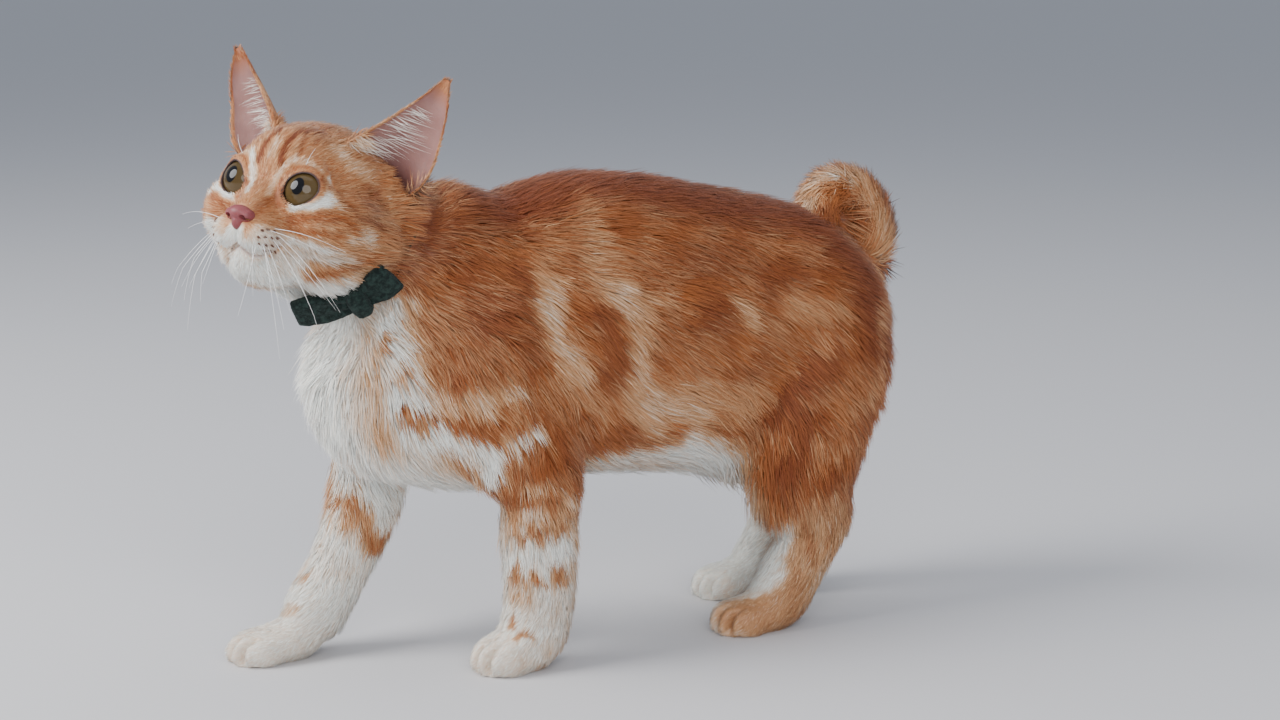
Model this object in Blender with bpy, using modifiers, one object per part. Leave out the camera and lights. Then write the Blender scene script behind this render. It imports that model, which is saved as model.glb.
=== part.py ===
# A young American Bobtail cat, standing in mid-step with its head turned to its left.
# Metres, +Z up. The head points to -X, the cat's left side to -Y, and the paws stand on Z = 0.
# Sizes are written in millimetres, as the real animal is measured, and scaled by MM.
import math
import random

import bmesh
import bpy
import numpy as np
from mathutils import Matrix, Vector
from mathutils.bvhtree import BVHTree

MM = 0.001

# Driving dimensions. The surface is that of the coat, out to the tips of the hair.
GAP = 0.3                  # between two nodes that touch
BODY_VOXEL = 2.4           # grain of the fused body before it is thinned
BODY_TRIANGLES = 4700
SMOOTH_STEPS = 7
TAIL_TRIANGLES = 360
NOSE_TRIANGLES = 260
SOLE_DEPTH = 1.5           # how far the pads reach under the floor before the soles are cut flat

HEAD_CENTRE = (-172.3, -6.3, 223.5)
HEAD_YAW = 32.0            # turned to the cat's left, degrees
HEAD_PITCH = 9.6           # nose lifted
HEAD_ROLL = -6.0           # left ear lower

EYE_FRONT = (29.4, 19.1, 9.4)      # cornea, in the head's forward, left, up
EYE_OUT = 12.0                     # each eye looks outwards by this angle
EYE_UP = 4.0
EYE_RADIUS = 10.3
LID = 1.5                          # thickness of an eyelid
EYE_OPENING = (9.1, 7.9, 7.5, 0.20)  # half width, upper lid, lower lid, slant
EYE_FLARE = 1.25                   # the lids' edges open outwards by this much

MOUTH_MIDDLE = (28, 0, -13.5)      # inside the muzzle, at the height of the lips
LIP_GROOVE = 0.85                  # half the width of the line of the mouth

# Ear, in the head's forward, left, up: its two edges from under the coat to the tip
EAR_INNER_EDGE = ((4, 17, 26), (0.5, 20.5, 33), (-3, 26, 39), (-7, 33, 45.5), (-10, 41, 53),
                  (-12.4, 50, 61.5), (-13.4, 57.4, 69))
EAR_OUTER_EDGE = ((-25, 36, 0), (-20, 46, 9), (-16, 53.5, 17), (-16, 57, 29), (-16, 59, 41),
                  (-14.4, 61, 54), (-13.4, 60.4, 68))
EAR_FACING = (0.90, 0.38, 0.12)    # the way the cup opens
EAR_CUP = 15.0                     # depth of the cup at its base
EAR_WALL = 2.4

COLLAR_CENTRE = (-139.0, -2.0, 202.0)
COLLAR_FACING = (-0.78, -0.10, 0.62)
COLLAR_WIDTH = 10.0
COLLAR_PROUD = 0.6                 # above the coat that it presses down
COLLAR_THICK = 2.2
COLLAR_REACH = 110.0               # wider than the neck, and clear of the chest

BOW_KNOT = (-153.8, -31.5, 182.6)
BOW_AXIS = (-0.78, -0.10, 0.62)       # along the neck: the bow's height
BOW_ARMS = {"left": (0.47, -0.50, 0.62), "right": (-0.80, 0.60, -0.04)}
BOW_LENGTH = {"left": 25.0, "right": 31.0}
BOW_HEIGHT = (11.0, 20.5)             # at the knot and at its widest
BOW_DEPTH = (5.0, 6.5)
KNOT_RADII = (5.2, 6.0, 8.0)          # along the arms, outwards, along the neck

# Torso: x, top, bottom, half width
TORSO = (
    (-165, 150, 132, 9), (-160, 168, 116, 25), (-147, 189, 99, 37), (-120, 209, 88, 45),
    (-88, 223, 83, 48), (-55, 231, 84, 50), (-25, 235, 84, 51), (12, 232, 80, 50.5),
    (47, 225.5, 77, 49), (77, 219, 80, 48.5), (103, 212, 91, 48.5), (125, 200, 107, 43),
    (141, 184, 123, 33), (151, 164, 138, 17),
)
BACK_POWER = 1.05                  # above 1, the section narrows towards the spine
BELLY_POWER = 0.86
TORSO_WIDEST = 0.45                # height of the widest line, as a share of the section
# Limbs and neck: x, y, z, radius fore and aft, radius across
NECK = ((-78, 0, 177, 48, 42), (-106, 0, 193, 43, 38), (-132, -2, 202, 37, 35),
        (-150, 0, 211, 34, 34), (-162, -2, 217, 28, 30))
FORE_LEFT = ((-50, -20, 208, 18, 12), (-78, -29, 168, 34, 20), (-98, -34, 138, 31, 20),
             (-84, -39, 116, 29, 19), (-68, -41, 95, 24, 19), (-67, -40, 75, 21, 18),
             (-66.5, -40, 55, 19.6, 17), (-66, -39, 35, 18.2, 16), (-69, -39, 18, 18, 15.5),
             (-71, -39, 8, 16, 14))
FORE_RIGHT = ((-66, 20, 208, 18, 12), (-94, 29, 168, 34, 20), (-117, 34, 138, 31, 20),
              (-112, 37, 114, 28, 19), (-119, 37, 90, 22, 18), (-124, 37, 72, 20, 17.5),
              (-130, 36, 57, 18, 16.5), (-139, 36, 40, 16.5, 15.5), (-149, 36, 24, 17, 15.5),
              (-156, 36, 11, 17, 14))
HIND_LEFT = ((112, -22, 172, 34, 20), (102, -30, 140, 42, 24), (92, -35, 110, 38, 24),
             (89, -37, 88, 34, 21), (91, -37, 70, 29, 18), (97, -36, 56, 20, 16),
             (93, -35, 46, 18, 16), (84, -35, 32, 17.5, 15.5), (75, -36, 18, 17, 15.5),
             (66, -36, 9, 17, 14))
HIND_RIGHT = ((112, 22, 172, 34, 20), (110, 30, 140, 40, 24), (108, 35, 110, 37, 24),
              (112, 36, 88, 33, 21), (119, 35, 70, 26, 18), (126, 34, 56, 19, 16),
              (122, 33, 43, 17.5, 16), (115, 32, 30, 16.5, 15.5), (106, 31, 18, 16, 15),
              (97, 30, 9, 15, 14))
# Paws: centre, half length, half width, height
PAWS = {
    "fore_left": (-79, -39, 22, 16, 22),
    "fore_right": (-172, 35, 24, 16, 20),
    "hind_left": (60, -36.5, 25, 16.5, 21),
    "hind_right": (88, 28.5, 25, 16, 21),
}
# Tail: a short bob that rises from the rump and curls over to the front
TAIL = ((128, 0, 168, 19, 18), (142, 0, 184, 17.5, 17), (147, 0, 199, 16, 16), (142, 0, 211, 15, 15.5),
        (131, -1, 216, 14.5, 15), (121, -3, 213, 14, 14), (116.5, -5, 204, 13, 13),
        (120, -6, 195, 10, 11))
# Where each leg is parted from the trunk: the same form as a limb, larger
PART_FORE_LEFT = ((-79, -47, 136, 8, 6), (-80, -46, 127, 26, 17), (-76, -43, 104, 33, 24),
                  (-68, -41, 78, 31, 26), (-68, -40, 40, 32, 28), (-76, -39, 10, 42, 28),
                  (-76, -39, -12, 42, 28))
PART_FORE_RIGHT = ((-110, 45, 136, 8, 6), (-112, 44, 127, 26, 17), (-117, 41, 104, 32, 24),
                   (-125, 38, 76, 30, 26), (-140, 36, 40, 32, 28), (-168, 35, 10, 46, 28),
                   (-170, 35, -12, 46, 28))
PART_HIND_LEFT = ((103, -50, 178, 9, 5), (102, -47, 166, 34, 17), (97, -42, 132, 48, 28),
                  (90, -39, 95, 46, 30), (92, -37, 66, 42, 29), (84, -36, 35, 40, 29),
                  (62, -36, 10, 46, 29), (62, -36, -12, 46, 29))
PART_HIND_RIGHT = ((107, 50, 178, 9, 5), (107, 47, 166, 34, 17), (107, 42, 132, 46, 28),
                   (110, 39, 95, 44, 30), (117, 35, 66, 42, 29), (112, 32, 35, 42, 29),
                   (92, 29, 10, 50, 29), (92, 29, -12, 50, 29))
PARTINGS = {"fore_left": PART_FORE_LEFT, "fore_right": PART_FORE_RIGHT,
            "hind_left": PART_HIND_LEFT, "hind_right": PART_HIND_RIGHT}
PAW_TOP = 27.0
NECK_BASE = (-112, 0, 190)         # a point on the cut between neck and torso
NECK_FACING = (-0.8, 0, 0.6)

# The tail's longer hair, in locks that follow its curl
TAIL_CORE = 0.5                    # the tail's own body, as a share of its outline
LOCK_SEED = 11
LOCK_ROWS = 7
LOCKS_AROUND = 5
LOCK_LENGTH = 26.0
LOCK_WIDTH = 16.5
LOCK_THICKNESS = 6.0
# Along a lock: its share of the length, of the width, of the thickness, and of the way to the outline
LOCK_PROFILE = ((0, 0.6, 0.9, -0.5), (0.3, 1.0, 1.0, 0.3), (0.6, 0.95, 0.8, 0.65), (0.84, 0.6, 0.5, 0.88),
                (1.0, 0.0, 0.0, 1.05))

RED = (0.50, 0.19, 0.065, 1)
CREAM = (0.80, 0.74, 0.64, 1)
EAR_PINK = (0.66, 0.36, 0.26, 1)
NOSE_PINK = (0.62, 0.22, 0.22, 1)
IRIS_GOLD = (0.35, 0.28, 0.10, 1)
COLLAR_GREEN = (0.03, 0.07, 0.06, 1)
BOW_GREEN = (0.02, 0.06, 0.055, 1)


def material(name, colour, roughness=0.8, metallic=0.0):
    found = bpy.data.materials.get(name)
    if found:
        return found
    made = bpy.data.materials.new(name)
    made.use_nodes = True
    shader = made.node_tree.nodes["Principled BSDF"]
    shader.inputs["Base Color"].default_value = colour
    shader.inputs["Roughness"].default_value = roughness
    shader.inputs["Metallic"].default_value = metallic
    made.diffuse_color = colour
    return made


def clear_scene():
    for obj in list(bpy.data.objects):
        bpy.data.objects.remove(obj, do_unlink=True)


def collection(name):
    made = bpy.data.collections.new(name)
    bpy.context.scene.collection.children.link(made)
    return made


def add_object(name, bm, group):
    bmesh.ops.recalc_face_normals(bm, faces=bm.faces)
    mesh = bpy.data.meshes.new(name)
    bm.to_mesh(mesh)
    bm.free()
    obj = bpy.data.objects.new(name, mesh)
    group.objects.link(obj)
    return obj


def remove(objects):
    for obj in objects:
        bpy.data.objects.remove(obj, do_unlink=True)


def smooth_path(points, count):
    """Catmull-Rom through rows of numbers, evenly spread in the row number."""
    p = np.array(points, float)
    p = np.vstack([2 * p[0] - p[1], p, 2 * p[-1] - p[-2]])
    out = []
    for s in np.linspace(0, len(points) - 1, count):
        i = min(int(s), len(points) - 2)
        t = s - i
        a, b, c, d = p[i:i + 4]
        out.append(0.5 * (2 * b + (c - a) * t + (2 * a - 5 * b + 4 * c - d) * t ** 2
                          + (3 * b - a - 3 * c + d) * t ** 3))
    return np.array(out)


def loft(name, rings, group):
    """A closed skin through rings of points, each end closed to its middle."""
    bm = bmesh.new()
    rows = [[bm.verts.new(Vector(p) * MM) for p in ring] for ring in rings]
    for a, b in zip(rows, rows[1:]):
        for i in range(len(a)):
            j = (i + 1) % len(a)
            bm.faces.new((a[i], a[j], b[j], b[i]))
    for row in (rows[0], rows[-1]):
        centre = bm.verts.new(sum((v.co for v in row), Vector()) / len(row))
        for i in range(len(row)):
            bm.faces.new((row[i], row[(i + 1) % len(row)], centre))
    return add_object(name, bm, group)


def torso(name, group, around=28, along=34):
    """Sections across X, egg shaped: the widest line lies under the middle."""
    rings = []
    for x, top, bottom, half in smooth_path(TORSO, along):
        middle = bottom + TORSO_WIDEST * (top - bottom)
        ring = []
        for k in range(around):
            a = 2 * math.pi * k / around
            reach = top - middle if math.sin(a) > 0 else middle - bottom
            power = BACK_POWER if math.sin(a) > 0 else BELLY_POWER
            up = math.copysign(abs(math.sin(a)) ** BELLY_POWER, math.sin(a)) * reach
            side = math.copysign(abs(math.cos(a)) ** power, math.cos(a)) * half
            ring.append((x, side, middle + up))
        rings.append(ring)
    return loft(name, rings, group)


def limb(name, stations, group, around=18, per_station=4):
    """Elliptical sections square to a smooth path, with rounded ends."""
    path = smooth_path(stations, per_station * (len(stations) - 1) + 1)
    rings = []
    for i, row in enumerate(path):
        before, after = path[max(i - 1, 0)], path[min(i + 1, len(path) - 1)]
        along = Vector(after[:3] - before[:3]).normalized()
        across = Vector((0, 1, 0))
        across = (across - along * across.dot(along)).normalized()
        fore = across.cross(along)
        end = min(i, len(path) - 1 - i)
        tuck = (0.55, 0.86)[end] if end < 2 else 1.0
        centre = Vector(row[:3])
        ring = []
        for k in range(around):
            a = 2 * math.pi * k / around
            ring.append(centre + fore * math.cos(a) * row[3] * tuck
                        + across * math.sin(a) * row[4] * tuck)
        rings.append(ring)
    return loft(name, rings, group)


def ellipsoid(name, centre, radii, group, space=None, detail=4, pitch=0.0):
    """An icosphere stretched to radii, in millimetres, placed in a space such as the head's."""
    bm = bmesh.new()
    bmesh.ops.create_icosphere(bm, subdivisions=detail, radius=1.0)
    place = (Matrix.Translation(Vector(centre)) @ Matrix.Rotation(math.radians(-pitch), 4, "Y")
             @ Matrix.Diagonal((*radii, 1)))
    bmesh.ops.transform(bm, matrix=(space or Matrix.Scale(MM, 4)) @ place, verts=bm.verts)
    return add_object(name, bm, group)


def head_space():
    """Forward, left, up in millimetres to the cat's frame in metres."""
    yaw, pitch, roll = (math.radians(a) for a in (HEAD_YAW, HEAD_PITCH, HEAD_ROLL))
    fore = Vector((-math.cos(yaw), -math.sin(yaw), 0))
    left = Vector((math.sin(yaw), -math.cos(yaw), 0))
    up = Vector((0, 0, 1))
    nose = fore * math.cos(pitch) + up * math.sin(pitch)
    crown = up * math.cos(pitch) - fore * math.sin(pitch)
    side = left * math.cos(roll) + crown * math.sin(roll)
    top = crown * math.cos(roll) - left * math.sin(roll)
    axes = Matrix((nose, side, top)).transposed().to_4x4()
    return Matrix.Translation(Vector(HEAD_CENTRE) * MM) @ axes @ Matrix.Scale(MM, 4)


def modify(obj, kind, **settings):
    """Adds one modifier and applies it, so that later steps can read the mesh."""
    modifier = obj.modifiers.new(kind.title(), kind)
    for key, value in settings.items():
        setattr(modifier, key, value)
    graph = bpy.context.evaluated_depsgraph_get()
    made = bpy.data.meshes.new_from_object(obj.evaluated_get(graph))
    obj.modifiers.clear()
    old = obj.data
    obj.data = made
    bpy.data.meshes.remove(old)
    return obj


def join(name, objects, group):
    bm = bmesh.new()
    for obj in objects:
        bm.from_mesh(obj.data)
    remove(objects)
    mesh = bpy.data.meshes.new(name)
    bm.to_mesh(mesh)
    bm.free()
    made = bpy.data.objects.new(name, mesh)
    group.objects.link(made)
    return made


def copy_of(obj, name, group):
    made = bpy.data.objects.new(name, obj.data.copy())
    group.objects.link(made)
    return made


def grown(obj, name, amount, group):
    """A copy whose surface is moved out along its normals, in millimetres."""
    made = copy_of(obj, name, group)
    normals = [v.normal.copy() for v in made.data.vertices]
    for vertex, normal in zip(made.data.vertices, normals):
        vertex.co += normal * amount * MM
    return made


def carve(obj, operation, other, solver="MANIFOLD"):
    return modify(obj, "BOOLEAN", operation=operation, object=other, solver=solver)


def largest_body(obj):
    """Keeps the largest closed surface of the mesh."""
    bm = bmesh.new()
    bm.from_mesh(obj.data)
    bm.verts.ensure_lookup_table()
    seen, bodies = set(), []
    for start in bm.verts:
        if start.index in seen:
            continue
        stack, body = [start], []
        seen.add(start.index)
        while stack:
            v = stack.pop()
            body.append(v)
            for e in v.link_edges:
                w = e.other_vert(v)
                if w.index not in seen:
                    seen.add(w.index)
                    stack.append(w)
        bodies.append(body)
    bodies.sort(key=len)
    bmesh.ops.delete(bm, geom=[v for body in bodies[:-1] for v in body], context="VERTS")
    bm.to_mesh(obj.data)
    bm.free()
    return obj


def half_space(name, point, facing, group, size=600.0):
    """A block whose one face lies on the plane, filling the side that facing points away from."""
    bm = bmesh.new()
    bmesh.ops.create_cube(bm, size=size)
    turn = Vector(facing).to_track_quat("Z", "Y").to_matrix().to_4x4()
    place = Matrix.Translation(Vector(point)) @ turn @ Matrix.Translation((0, 0, -size / 2))
    bmesh.ops.transform(bm, matrix=Matrix.Scale(MM, 4) @ place, verts=bm.verts)
    return add_object(name, bm, group)


def slab(name, point, facing, thickness, group, size=300.0):
    bm = bmesh.new()
    bmesh.ops.create_cube(bm, size=1.0)
    turn = Vector(facing).to_track_quat("Z", "Y").to_matrix().to_4x4()
    place = Matrix.Translation(Vector(point)) @ turn @ Matrix.Diagonal((size, size, thickness, 1))
    bmesh.ops.transform(bm, matrix=Matrix.Scale(MM, 4) @ place, verts=bm.verts)
    return add_object(name, bm, group)


def head_forms(group):
    """The head's masses, in forward, left, up: centre, radii and pitch. Paired masses are mirrored."""
    space = head_space()
    single = {
        "cranium": ((-10, 0, 12), (35, 36, 30), 0),
        "forehead": ((6, 0, 16), (24, 26, 23), 0),
        "nape": ((-27, 0, 2), (25, 33, 29), 0),
        "face": ((10, 0, -6), (24, 27, 22), 0),
        "bridge": ((29, 0, 4), (18, 8.5, 7.5), -33),
        "muzzle": ((29, 0, -10), (16.5, 15, 12.5), 0),
        "chin": ((31, 0, -25), (9.5, 9.5, 8), -10),
        "jaw": ((14, 0, -25), (24, 16.5, 13.5), -8),
        "throat": ((-10, 0, -25), (26, 24, 17), 0),
    }
    paired = {
        "ear_root": ((-12, 28, 21), (12, 12, 14), 0),
        "cheek": ((3, 24, -5), (26, 19.5, 20.5), 0),
        "jowl": ((-5, 18.5, -21), (26, 19, 17), 0),
        "brow": ((16, 15.5, 15), (11, 12, 8.5), 20),
        "pad": ((35.5, 7.2, -13.2), (10.5, 9.8, 8.8), 0),
        "lid": (tuple(eye_centre(1)), (EYE_RADIUS + LID,) * 3, 0),
    }
    made = [ellipsoid("form_" + n, c, r, group, space, 4, p) for n, (c, r, p) in single.items()]
    for n, ((f, l, u), r, p) in paired.items():
        for side in (1, -1):
            made.append(ellipsoid(f"form_{n}_{side}", (f, l * side, u), r, group, space, 4, p))
    return made


def eye_axis(side):
    out, up = math.radians(EYE_OUT), math.radians(EYE_UP)
    return Vector((math.cos(out) * math.cos(up), side * math.sin(out) * math.cos(up), math.sin(up)))


def eye_centre(side):
    f, l, u = EYE_FRONT
    return Vector((f, side * l, u)) - eye_axis(side) * EYE_RADIUS


def paw_forms(name, group):
    """A pad, and four toes at its front. The outer toes sit further back."""
    x, y, half_length, half_width, height = PAWS[name]
    base = height / 2 - SOLE_DEPTH
    made = [ellipsoid("pad_" + name, (x + 4, y, base), (half_length - 3, half_width - 0.5, height / 2),
                      group)]
    for toe in range(4):
        across = (toe - 1.5) / 1.5
        back = 4.5 * across ** 2
        centre = (x - half_length + 10 + back, y + across * (half_width - 5.2), base - 1.8)
        made.append(ellipsoid(f"toe_{name}_{toe}", centre, (10.5, 5.6, height / 2 - 1.2), group))
    return made


def whole_body(group):
    """Every mass fused into one skin, thinned, with its soles cut flat at the floor."""
    forms = [torso("form_torso", group), limb("form_neck", NECK, group)]
    for name, stations in (("fore_left", FORE_LEFT), ("fore_right", FORE_RIGHT),
                           ("hind_left", HIND_LEFT), ("hind_right", HIND_RIGHT)):
        forms.append(limb("form_" + name, stations, group))
        forms += paw_forms(name, group)
    forms += head_forms(group)
    body = join("whole", forms, group)
    modify(body, "REMESH", mode="VOXEL", voxel_size=BODY_VOXEL * MM)
    modify(body, "SMOOTH", factor=0.5, iterations=SMOOTH_STEPS)
    largest_body(body)
    triangles = 2 * len(body.data.polygons)
    modify(body, "DECIMATE", ratio=BODY_TRIANGLES / triangles)
    floor = half_space("floor", (0, 0, 0), (0, 0, 1), group, 900.0)
    carve(body, "DIFFERENCE", floor)
    remove([floor])
    return body


def ear(name, side, group, rows=10, columns=8):
    """A cup between the ear's two edges: half an ellipse across, open to the front, its wall tapering."""
    def edge(points):
        return [Vector((f, left * side, up)) for f, left, up in smooth_path(points, rows + 1)]

    inner, outer = edge(EAR_INNER_EDGE), edge(EAR_OUTER_EDGE)
    facing = Vector((EAR_FACING[0], EAR_FACING[1] * side, EAR_FACING[2])).normalized()
    rise = (inner[-1] - inner[-2]).normalized()
    space = head_space()
    bm = bmesh.new()
    skins = []
    for wall in (0.0, 1.0):
        grid = []
        for i, (a, b) in enumerate(zip(inner, outer)):
            v = i / rows
            half, middle, spread = (b - a).length / 2, (a + b) / 2, (b - a).normalized()
            depth = EAR_CUP * (1 - v) ** 0.9 + 0.8
            row = []
            for j in range(columns + 1):
                phi = math.pi * (j / columns - 0.5)
                thick = wall * EAR_WALL * (1 - 0.5 * v) * (0.4 + 0.6 * math.cos(phi))
                point = middle + spread * math.sin(phi) * (half + thick * abs(math.sin(phi)))
                point -= facing * (math.cos(phi) * depth + thick)
                if i == rows:
                    point += rise * (thick * 0.5 + 1.2 * math.cos(phi))
                row.append(bm.verts.new(space @ point))
            grid.append(row)
        skins.append(grid)
    inside, outside = skins
    for grid in skins:
        for r0, r1 in zip(grid, grid[1:]):
            for j in range(columns):
                bm.faces.new((r0[j], r0[j + 1], r1[j + 1], r1[j]))
    for end in (0, -1):
        for j in range(columns):
            bm.faces.new((inside[end][j], inside[end][j + 1], outside[end][j + 1], outside[end][j]))
        for i in range(rows):
            bm.faces.new((inside[i][end], inside[i + 1][end], outside[i + 1][end], outside[i][end]))
    return add_object(name, bm, group)


def eye_opening(name, side, group, points=20):
    """An almond section carried forward along the eye's axis from the middle of the eyeball."""
    axis = eye_axis(side)
    across = Vector((-axis.y, axis.x, 0)).normalized() * side
    up = axis.cross(across) * side
    half, upper, lower, slant = EYE_OPENING
    space = head_space()
    rings = []
    for reach, wide in ((0, 1.0), (EYE_RADIUS, 1.0), (EYE_RADIUS * 2, EYE_FLARE)):
        ring = []
        for k in range(points):
            a = 2 * math.pi * k / points
            s = half * math.cos(a)
            height = upper if math.sin(a) > 0 else lower
            t = math.copysign(abs(math.sin(a)) ** 1.05, math.sin(a)) * height + slant * s
            point = eye_centre(side) + axis * reach + (across * s + up * t) * wide
            ring.append(space @ point / MM)
        rings.append(ring)
    return loft(name, rings, group)


def surface_points(tree, start, directions):
    """Where rays from a point inside the head meet its surface, in the cat's frame, millimetres."""
    space = head_space()
    origin = space @ Vector(start)
    found = []
    for direction in directions:
        ray = (space @ (Vector(start) + Vector(direction))) - origin
        hit = tree.ray_cast(origin, ray.normalized())[0]
        if hit is not None:
            found.append(hit / MM)
    return found


def groove(name, points, radius, group, around=6):
    """A tube along points, for a line cut into the surface."""
    path = smooth_path([tuple(p) for p in points], 3 * len(points))
    rings = []
    for i, p in enumerate(path):
        along = Vector(path[min(i + 1, len(path) - 1)] - path[max(i - 1, 0)]).normalized()
        side = along.orthogonal().normalized()
        if rings:
            side = (last - along * last.dot(along)).normalized()
        last = side
        other = along.cross(side)
        rings.append([Vector(p) + side * math.cos(2 * math.pi * k / around) * radius
                      + other * math.sin(2 * math.pi * k / around) * radius for k in range(around)])
    return loft(name, rings, group)


def mouth_cutters(head, group):
    """The line of the mouth, from one corner under the nose to the other, and the philtrum."""
    tree = BVHTree.FromObject(head, bpy.context.evaluated_depsgraph_get())
    lips = []
    for k in range(-6, 7):
        a = k / 6
        lips.append((12 - 10 * abs(a) ** 1.6, 15.5 * a, -4.6 - 4.2 * math.sin(math.pi * abs(a))))
    line = surface_points(tree, MOUTH_MIDDLE, lips)
    split = surface_points(tree, MOUTH_MIDDLE, [(16, 0, 3.6), (16, 0, 0), (14, 0, -3), (12, 0, -4.6)])
    return [groove("cut_mouth", line, LIP_GROOVE, group), groove("cut_philtrum", split, LIP_GROOVE, group)]


def nose_leather(group):
    """The rounded triangle of bare skin, wide above and drawn to the philtrum below."""
    space = head_space()
    forms = [ellipsoid("leather_top", (43.0, 0, -4.6), (4.8, 5.8, 3.6), group, space, 3),
             ellipsoid("leather_low", (43.0, 0, -8.4), (3.8, 2.8, 4.0), group, space, 3)]
    for side in (1, -1):
        forms.append(ellipsoid(f"leather_wing_{side}", (42.4, 3.9 * side, -5.4), (4.4, 3.3, 3.0),
                               group, space, 3))
    nose = join("nose", forms, group)
    modify(nose, "REMESH", mode="VOXEL", voxel_size=0.55 * MM)
    modify(nose, "SMOOTH", factor=0.5, iterations=4)
    modify(nose, "DECIMATE", ratio=NOSE_TRIANGLES / (2 * len(nose.data.polygons)))
    for side in (1, -1):
        hole = ellipsoid(f"cut_nostril_{side}", (46.6, side * 3.9, -6.4), (3.0, 1.6, 1.2), group, space, 2)
        carve(nose, "DIFFERENCE", hole)
        remove([hole])
    return largest_body(nose)


def eyeball(name, side, group):
    space = head_space()
    bm = bmesh.new()
    bmesh.ops.create_uvsphere(bm, u_segments=14, v_segments=9, radius=EYE_RADIUS)
    turn = eye_axis(side).to_track_quat("Z", "Y").to_matrix().to_4x4()
    place = space @ Matrix.Translation(eye_centre(side)) @ turn
    bmesh.ops.transform(bm, matrix=place, verts=bm.verts)
    return add_object(name, bm, group)


def lock(path, start, length, angle, width, group):
    """A flat, tapered lock that leaves the tail's core at a low angle and follows its curl."""
    bm = bmesh.new()
    rings = []
    for along, wide, deep, out in LOCK_PROFILE:
        i = min(start + along * length, len(path) - 2.0)
        row = path[int(i)] + (path[int(i) + 1] - path[int(i)]) * (i - int(i))
        onward = Vector(path[int(i) + 1][:3] - path[int(i)][:3]).normalized()
        side = Vector((0, 1, 0))
        side = (side - onward * side.dot(onward)).normalized()
        fore = side.cross(onward)
        outward = fore * math.cos(angle) + side * math.sin(angle)
        across = onward.cross(outward)
        core = row[3] * TAIL_CORE
        middle = Vector(row[:3]) + outward * (core + (row[3] - core) * out)
        if wide == 0:
            rings.append([bm.verts.new(middle * MM)])
            continue
        corners = (across * width * wide / 2, outward * LOCK_THICKNESS * deep / 2)
        rings.append([bm.verts.new((middle + c * k) * MM) for k in (1, -1) for c in corners])
    for a, b in zip(rings, rings[1:]):
        for i in range(4):
            j = (i + 1) % 4
            if len(b) == 1:
                bm.faces.new((a[i], a[j], b[0]))
            else:
                bm.faces.new((a[i], a[j], b[j]))
                bm.faces.new((a[i], b[j], b[i]))
    bm.faces.new(rings[0])
    return add_object("lock", bm, group)


def fuse(obj, pieces, group):
    """Unites a solid with a collection of closed pieces, and removes the pieces."""
    gathered = bpy.data.collections.new("pieces")
    bpy.context.scene.collection.children.link(gathered)
    for piece in pieces:
        gathered.objects.link(piece)
        group.objects.unlink(piece)
    modify(obj, "BOOLEAN", operation="UNION", operand_type="COLLECTION", collection=gathered,
           solver="MANIFOLD")
    remove(list(gathered.objects))
    bpy.data.collections.remove(gathered)
    return largest_body(obj)


def bob_tail(group):
    """The curled bob: a core, fused so that its tip may rest on its root, and locks along the curl."""
    core = [(x, y, z, fore * TAIL_CORE, side * TAIL_CORE) for x, y, z, fore, side in TAIL]
    tail = limb("tail", core, group, 16, 5)
    modify(tail, "REMESH", mode="VOXEL", voxel_size=1.6 * MM)
    modify(tail, "SMOOTH", factor=0.5, iterations=3)
    modify(tail, "DECIMATE", ratio=TAIL_TRIANGLES / (2 * len(tail.data.polygons)))
    draw = random.Random(LOCK_SEED)
    steps = 100
    path = smooth_path(TAIL, steps + 1)
    run = sum(float(np.linalg.norm(b[:3] - a[:3])) for a, b in zip(path, path[1:]))
    locks = []
    for row in range(LOCK_ROWS):
        start = steps * (0.02 + 0.86 * row / LOCK_ROWS)
        shorter = 1 - 0.35 * row / LOCK_ROWS
        for k in range(LOCKS_AROUND):
            angle = 2 * math.pi * (k + 0.5 * (row % 2) + draw.uniform(-0.14, 0.14)) / LOCKS_AROUND
            length = LOCK_LENGTH * steps / run * draw.uniform(0.85, 1.2) * shorter
            width = LOCK_WIDTH * draw.uniform(0.85, 1.15) * shorter
            locks.append(lock(path, start, length, angle, width, group))
    return fuse(tail, locks, group)


def bow_arm(name, direction, length, group, around=12, along=7):
    """One loop of the bow: pinched at the knot, widest near its end, folded in along its middle."""
    out = Vector(direction).normalized()
    high = Vector(BOW_AXIS)
    high = (high - out * high.dot(out)).normalized()
    deep = out.cross(high)
    rings = []
    for i in range(along):
        u = i / (along - 1)
        swell = math.sin(math.pi / 2 * min(u / 0.8, 1.0)) ** 1.3
        end = 1.0 if u < 0.85 else 0.86
        height = (BOW_HEIGHT[0] + (BOW_HEIGHT[1] - BOW_HEIGHT[0]) * swell) * end / 2
        depth = (BOW_DEPTH[0] + (BOW_DEPTH[1] - BOW_DEPTH[0]) * swell) * (end - (u > 0.99) * 0.3) / 2
        ring = []
        for k in range(around):
            a = 2 * math.pi * k / around
            y = math.copysign(abs(math.sin(a)) ** 0.7, math.sin(a)) * height
            x = math.copysign(abs(math.cos(a)) ** 0.6, math.cos(a)) * depth
            x *= 1 - 0.35 * (1 - u) * math.cos(y / height * math.pi / 2)
            ring.append(Vector(BOW_KNOT) + out * (2.5 + u * (length - 2.5)) + high * y + deep * x)
        rings.append(ring)
    return loft(name, rings, group)


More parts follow.
